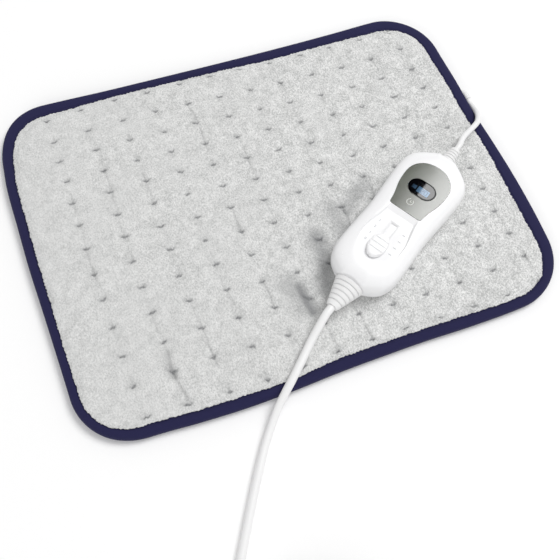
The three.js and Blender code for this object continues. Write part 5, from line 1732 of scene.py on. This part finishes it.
def sleeve_ring(distance, radius_share, grow, count=28):
    """A round section of the sleeve at a distance along it, which flattens through the bend."""
    bent = min(max(distance - SLEEVE_STRAIGHT, 0) / SLEEVE_BEND / (math.pi / 2), 1)
    angle = bent * math.pi / 2
    drop = min(bent / 0.7, 1)
    straight = min(distance - SLEEVE_STRAIGHT, 0)
    beyond = max(distance - SLEEVE_STRAIGHT - SLEEVE_BEND * math.pi / 2, 0)
    centre_x = GLAND_PLACE.x - SLEEVE_BEND * (1 - math.cos(angle)) - beyond
    centre_y = GLAND_PLACE.y + 0.3 + SLEEVE_STRAIGHT + SLEEVE_BEND * math.sin(angle) + straight
    centre_z = GLAND_PLACE.z + (SEAM_HEIGHT - GLAND_PLACE.z) * drop
    half_width = (SLEEVE_RADIUS + (SEAM_HALF_WIDTH - SLEEVE_RADIUS) * drop) * radius_share + grow
    half_height = (SLEEVE_RADIUS + (SEAM_HALF_HEIGHT - SLEEVE_RADIUS) * drop) * radius_share + grow
    found = []
    for k in range(count):
        turn = 2 * math.pi * k / count
        out = half_width * math.cos(turn)
        x, y = centre_x + out * math.cos(angle), centre_y + out * math.sin(angle)
        found.append((x, y, centre_z + half_height * math.sin(turn)))
    return found


sleeve_reach = SLEEVE_STRAIGHT + SLEEVE_BEND * math.pi / 2
sleeve_mouth = [(0, 0.78), (0.12, 0.86), (MOUTH_LENGTH, MOUTH_SHARE)]
sleeve_rings = [sleeve_ring(distance, share, 0) for distance, share in sleeve_mouth]
for i in range(1, SLEEVE_STEPS + 1):
    distance = MOUTH_LENGTH + (sleeve_reach - MOUTH_LENGTH) * i / SLEEVE_STEPS
    taper = MOUTH_SHARE + (1 - MOUTH_SHARE) * min(distance / TAPER_LENGTH, 1)
    in_groove = (distance - GROOVES_START) % SLEEVE_GROOVE_PITCH < SLEEVE_GROOVE_WIDTH
    groove = SLEEVE_GROOVE_SHARE if GROOVES_START < distance < GROOVES_END and in_groove else 0
    sleeve_rings.append(sleeve_ring(distance, taper - groove, 0))
lead_sleeve = lofted("lead_sleeve", sleeve_rings)
bpy.ops.object.shade_smooth_by_angle(angle=math.radians(40))
settle(lead_sleeve)
lead_sleeve.data.materials.append(boot_rubber)
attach(lead_sleeve, "pad")
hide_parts("pad_cord_gland")
gap_places = [1, 4, 6, 7.5, 9, 10.5, 12, 13.5, sleeve_reach, sleeve_reach + 4]
sleeve_gap = lofted("sleeve_gap", [sleeve_ring(distance, 1, 0.12) for distance in gap_places])
settle(sleeve_gap)
joined_shape(binding_tape, sleeve_gap, "DIFFERENCE")


# Plug. A flat two-pin plug in the same soft white, moulded over its pins, with a ribbed relief on its cord.
# It lies beside the coil.
PLUG_RELIEF_LENGTH = 22
PLUG_RELIEF_RADIUS = 5.6
PLUG_RELIEF_TIP = 4.4
PLUG_LENGTH = 28
PLUG_HALF_WIDTH = 17.6
PLUG_TAIL_HALF_WIDTH = 7
PLUG_HALF_HEIGHT = 6.85
PIN_SPACING = 18.6
PIN_RADIUS = 2
PIN_LENGTH = 19
PIN_SLEEVE_LENGTH = 10
PLUG_GAP = 0.3
GRIP_GROOVES_START = 0.16
GRIP_GROOVES_END = 0.56
GRIP_GROOVE_PITCH = 0.1
GRIP_GROOVE_WIDTH = 0.045
GRIP_GROOVE_DEPTH = 0.75
GRIP_STEPS = 62
TAIL_FALL = 1.1
TAIL_SHARE = 0.3
plug_y = coil_end.y
plug_x = plug_boot_x + PLUG_RELIEF_LENGTH + 2 * PLUG_GAP
RELIEF_RIBS = 6
RELIEF_GROOVE_DEPTH = 0.95
RELIEF_RIM = 0.3
RELIEF_PLAIN_LENGTH = 0.9
pitch = (PLUG_RELIEF_LENGTH - RELIEF_PLAIN_LENGTH) / RELIEF_RIBS
relief_profile = [(0, 0), (0, PLUG_RELIEF_RADIUS - RELIEF_RIM), (RELIEF_RIM, PLUG_RELIEF_RADIUS)]
for rib in range(RELIEF_RIBS):
    start = RELIEF_RIM + rib * pitch

    def relief_band(share):
        """The radius at a share of this band's pitch."""
        return PLUG_RELIEF_RADIUS + (PLUG_RELIEF_TIP - PLUG_RELIEF_RADIUS) * (rib + share) / RELIEF_RIBS

    if rib:
        relief_profile += [
            (start + 0.04 * pitch, relief_band(0) - 0.35), (start + 0.1 * pitch, relief_band(0.1))]
    relief_profile += [
        (start + 0.6 * pitch, relief_band(0.6)), (start + 0.66 * pitch, relief_band(0.66) - 0.35)]
    if rib < RELIEF_RIBS - 1:
        sunk = relief_band(1) - RELIEF_GROOVE_DEPTH
        relief_profile += [(start + 0.7 * pitch, sunk), (start + 0.97 * pitch, sunk)]
relief_profile += [
    (PLUG_RELIEF_LENGTH - 0.2, PLUG_RELIEF_TIP - 0.5), (PLUG_RELIEF_LENGTH, PLUG_RELIEF_TIP - 0.9),
    (PLUG_RELIEF_LENGTH, 0),
]
plug_relief = spun("plug_relief", relief_profile)
settle(plug_relief, math.pi, (plug_x - PLUG_GAP, plug_y, PLUG_AXIS_HEIGHT))

grip_shares = through([(0, 0), (0.08, 0.16), (0.2, 0.36), (0.5, 0.86), (0.62, 0.98), (0.7, 1), (1, 1)], 6)


def plug_ring(along, draw, count=56, squareness=4):
    """A section of the plug at a share of its length, drawn in evenly by an amount."""
    widening = float(np.interp(along, grip_shares[:, 0], grip_shares[:, 1]))
    width = PLUG_TAIL_HALF_WIDTH + (PLUG_HALF_WIDTH - PLUG_TAIL_HALF_WIDTH) * widening
    height = PLUG_HALF_HEIGHT - TAIL_FALL * max(1 - along / TAIL_SHARE, 0) ** 2
    in_groove = (along - GRIP_GROOVES_START) % GRIP_GROOVE_PITCH < GRIP_GROOVE_WIDTH
    groove = GRIP_GROOVE_DEPTH if GRIP_GROOVES_START < along < GRIP_GROOVES_END and in_groove else 0
    found = []
    for k in range(count):
        angle = 2 * math.pi * k / count
        c, s = math.cos(angle), math.sin(angle)
        reach_x = (width - draw - groove) * math.copysign(abs(c) ** (2 / squareness), c)
        reach_z = (height - draw) * math.copysign(abs(s) ** (2 / squareness), s)
        found.append((plug_x + along * PLUG_LENGTH, plug_y + reach_x, PLUG_AXIS_HEIGHT + reach_z))
    return found


plug_rings = [plug_ring(0, 1.2), plug_ring(0.012, 0.5), plug_ring(0.035, 0.12), plug_ring(0.06, 0)]
plug_rings += [plug_ring(0.08 + 0.875 * i / GRIP_STEPS, 0) for i in range(GRIP_STEPS + 1)]
plug_rings += [plug_ring(0.975, 0.12), plug_ring(0.992, 0.5), plug_ring(1, 1.1)]
plug_grip = lofted("plug_grip", plug_rings)
bpy.ops.object.shade_smooth_by_angle(angle=math.radians(35))
settle(plug_grip)
plug_pieces = [plug_relief, plug_grip]
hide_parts("plug_boot")
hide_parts("plug_body")
pin_metal = moulded("bright nickel", (196, 194, 188), 0.22, grain=3000, depth=0.000008, Metallic=1)
for number, side, node in ((1, -1, "plug_pin_1"), (2, 1, "plug_pin_2")):
    pin_place = (plug_x + PLUG_LENGTH + PLUG_GAP, plug_y + side * PIN_SPACING / 2, PLUG_AXIS_HEIGHT)
    pin = spun(f"pin_{number}", [
        (0, 0), (0, PIN_RADIUS - 0.25), (PIN_SLEEVE_LENGTH, PIN_RADIUS - 0.25),
        (PIN_SLEEVE_LENGTH, PIN_RADIUS - 0.02),
        (PIN_LENGTH - 1.7, PIN_RADIUS - 0.02), (PIN_LENGTH - 0.9, PIN_RADIUS - 0.25),
        (PIN_LENGTH - 0.3, PIN_RADIUS - 0.75), (PIN_LENGTH, PIN_RADIUS - 1.4), (PIN_LENGTH, 0),
    ], 28)
    settle(pin, 0, pin_place)
    pin.data.materials.append(pin_metal)
    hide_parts(node)
    pin_sleeve = spun(f"pin_sleeve_{number}", [
        (-0.25, PIN_RADIUS - 0.24), (-0.25, PIN_RADIUS + 0.5), (0.1, PIN_RADIUS + 0.35), (0.4, PIN_RADIUS),
        (PIN_SLEEVE_LENGTH - 0.2, PIN_RADIUS), (PIN_SLEEVE_LENGTH - 0.02, PIN_RADIUS - 0.12),
        (PIN_SLEEVE_LENGTH - 0.02, PIN_RADIUS - 0.24), (-0.25, PIN_RADIUS - 0.24),
    ], 28)
    settle(pin_sleeve, 0, pin_place)
    plug_pieces.append(pin_sleeve)
    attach(pin, "pad")
for piece in plug_pieces:
    piece.data.materials.append(boot_rubber)
    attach(piece, "pad")


# Coil tie. A dark woven strap round all the coil's turns at one place, closed over itself on top. With it
# the two cords are whole.
TIE_ANGLE = math.radians(30)
TIE_WIDTH = 9
TIE_THICKNESS = 0.6
TIE_GAP = 0.35
TIE_TOP_GAP = 0.06
TIE_UNDER = 0.09
TIE_ROUND = 3.2
TIE_CORNER_STEPS = 6
FLOOR_GAP = 0.01
FLAP_STEPS = 8
FLAP_INSET = 1
FLAP_GAP = 0.05
FLAP_CURL = 0.5
FLAP_CURL_START = 0.8
FLAP_NARROWER = 0.3
tie_turn = ((TIE_ANGLE - COIL_START) / (2 * math.pi)) % 1
crossing_turns = [tie_turn + k for k in range(math.ceil(COIL_TURNS)) if tie_turn + k < COIL_TURNS]
reaches = [COIL_RADIUS - COIL_PITCH * min(turn, COIL_TURNS - turn) for turn in crossing_turns]
tie_inside = min(reaches) - MAINS_DIAMETER / 2 - TIE_GAP
tie_outside = max(reaches) + MAINS_DIAMETER / 2 + TIE_GAP
tie_top = COIL_HEIGHT + COIL_PITCH + MAINS_DIAMETER / 2 + TIE_TOP_GAP
tie_near, tie_far = tie_inside + TIE_ROUND, tie_outside - TIE_ROUND
tie_low, tie_high = TIE_UNDER + TIE_ROUND, tie_top - TIE_ROUND
tie_corners = [
    (tie_far, tie_low, -90), (tie_far, tie_high, 0), (tie_near, tie_high, 90), (tie_near, tie_low, 180)]
tie_line = []
for corner_r, corner_z, first in tie_corners:
    for step in range(TIE_CORNER_STEPS + 1):
        angle = math.radians(first + step * 90 / TIE_CORNER_STEPS)
        way = (math.cos(angle), math.sin(angle))
        tie_line.append((corner_r + TIE_ROUND * way[0], corner_z + TIE_ROUND * way[1], way))
strap_points, strap_faces = [], []


def strap_station(r, z, way, inner, outer, half_width):
    """Four corners of the strap's section at a place on its loop round the coil."""
    spoke = Vector((math.cos(TIE_ANGLE), math.sin(TIE_ANGLE), 0))
    tangent = Vector((-math.sin(TIE_ANGLE), math.cos(TIE_ANGLE), 0))
    for off, side in ((inner, -1), (inner, 1), (outer, 1), (outer, -1)):
        place = Vector((*COIL_PLACE, 0)) + spoke * (r + way[0] * off) + tangent * (side * half_width)
        strap_points.append((place.x, place.y, max(z + way[1] * off, FLOOR_GAP)))


for r, z, way in tie_line:
    strap_station(r, z, way, 0, TIE_THICKNESS, TIE_WIDTH / 2)
count = len(tie_line)
for i in range(count):
    near, far = 4 * i, 4 * ((i + 1) % count)
    strap_faces += [(near + k, near + (k + 1) % 4, far + (k + 1) % 4, far + k) for k in range(4)]
flap_first = len(strap_points)
flap_half = TIE_WIDTH / 2 - FLAP_NARROWER
for i in range(FLAP_STEPS + 1):
    r = tie_near + FLAP_INSET + (tie_far - tie_near - 2 * FLAP_INSET) * i / FLAP_STEPS
    lift = FLAP_GAP + FLAP_CURL * max(i / FLAP_STEPS - FLAP_CURL_START, 0)
    strap_station(r, tie_top, (0, 1), TIE_THICKNESS + lift, 2 * TIE_THICKNESS + lift, flap_half)
for i in range(FLAP_STEPS):
    near, far = flap_first + 4 * i, flap_first + 4 * (i + 1)
    strap_faces += [(near + k, near + (k + 1) % 4, far + (k + 1) % 4, far + k) for k in range(4)]
strap_faces.append(tuple(range(flap_first, flap_first + 4)))
strap_faces.append(tuple(range(len(strap_points) - 4, len(strap_points))))
coil_tie = new_piece("coil_tie", strap_points, [], strap_faces)
face_outwards()
bpy.ops.object.shade_smooth_by_angle(angle=math.radians(40))
settle(coil_tie)
tie_weave = woven("dark tie tape", (52, 53, 60), 1300, 0.35, 0.00012, 0.2, "Object")
coil_tie.data.materials.append(tie_weave)
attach(coil_tie, "pad")


# Inside. The soft layers, the heater and the electronics are the CAD's own solids, each in its own finish:
# wadding, felt, lacquered wire, board, moulded parts and plated screws.
def fluffy(name, colour, fibres, depth):
    """A loose fibre material: the same standing fibres as the plush, in its own colour and size."""
    made, tree, shader = new_finish(name, Roughness=0.95, Sheen_Weight=0.2)
    fibre = add_node(
        tree, "Group", {"node_tree": PILE}, Coordinates=add_node(tree, "TexCoord").outputs["Object"],
        Tip_Colour=linear(*colour), Root_Colour=linear(*(0.78 * value for value in colour)),
        Fibres_per_Metre=fibres)
    feed(tree, shader.inputs["Base Color"], fibre.outputs["Colour"])
    raise_grain(tree, fibre, shader, depth)
    return made


steel = moulded("plated steel", (188, 188, 186), 0.3, grain=2500, depth=0.00001, Metallic=1)
black_moulding = moulded("black moulding", (34, 36, 42), 0.45, grain=1800, depth=0.00001)
cream_moulding = moulded("cream moulding", (217, 210, 184), 0.45, grain=1500, depth=0.00001)
inner_finishes = {
    fluffy("loose wadding", (230, 227, 220), 500, 0.0006): ["lower_wadding", "upper_wadding"],
    fluffy("beige felt", (185, 180, 168), 1300, 0.0002): ["heater_carrier"],
    moulded("lacquered heating wire", (178, 96, 58), 0.35, grain=1800, depth=0.00001): ["heating_wire"],
    steel: ["thermostat_1", "thermostat_2", "switch_lever", "board_screw_1", "board_screw_2",
            *(f"housing_screw_{i}" for i in range(1, 5))],
    cream_moulding: ["splice_block", "mains_terminal", "pad_terminal", "fuse"],
    white_flex: ["lead_tail", "mains_tail", "pad_tail"],
    shell_white: ["slider_skirt"],
    black_moulding: ["lcd_header", "switch_fork", "slide_switch", "relay", "triac", "mains_cord_clamp",
                     "pad_cord_clamp"],
    moulded("lit panel", (150, 182, 208), 0.3, grain=1500, depth=0.000005): ["lcd_module"],
    moulded("board green", (47, 107, 69), 0.4, grain=900, cloudiness=0.12, depth=0.00001): ["circuit_board"],
    moulded("blue sleeve", (44, 74, 124), 0.35, grain=1500, depth=0.00001): [
        "power_capacitor", "smoothing_capacitor"],
}
for finish, names in inner_finishes.items():
    for name in names:
        solid = bpy.data.objects[name]
        solid.data.materials.clear()
        solid.data.materials.append(finish)
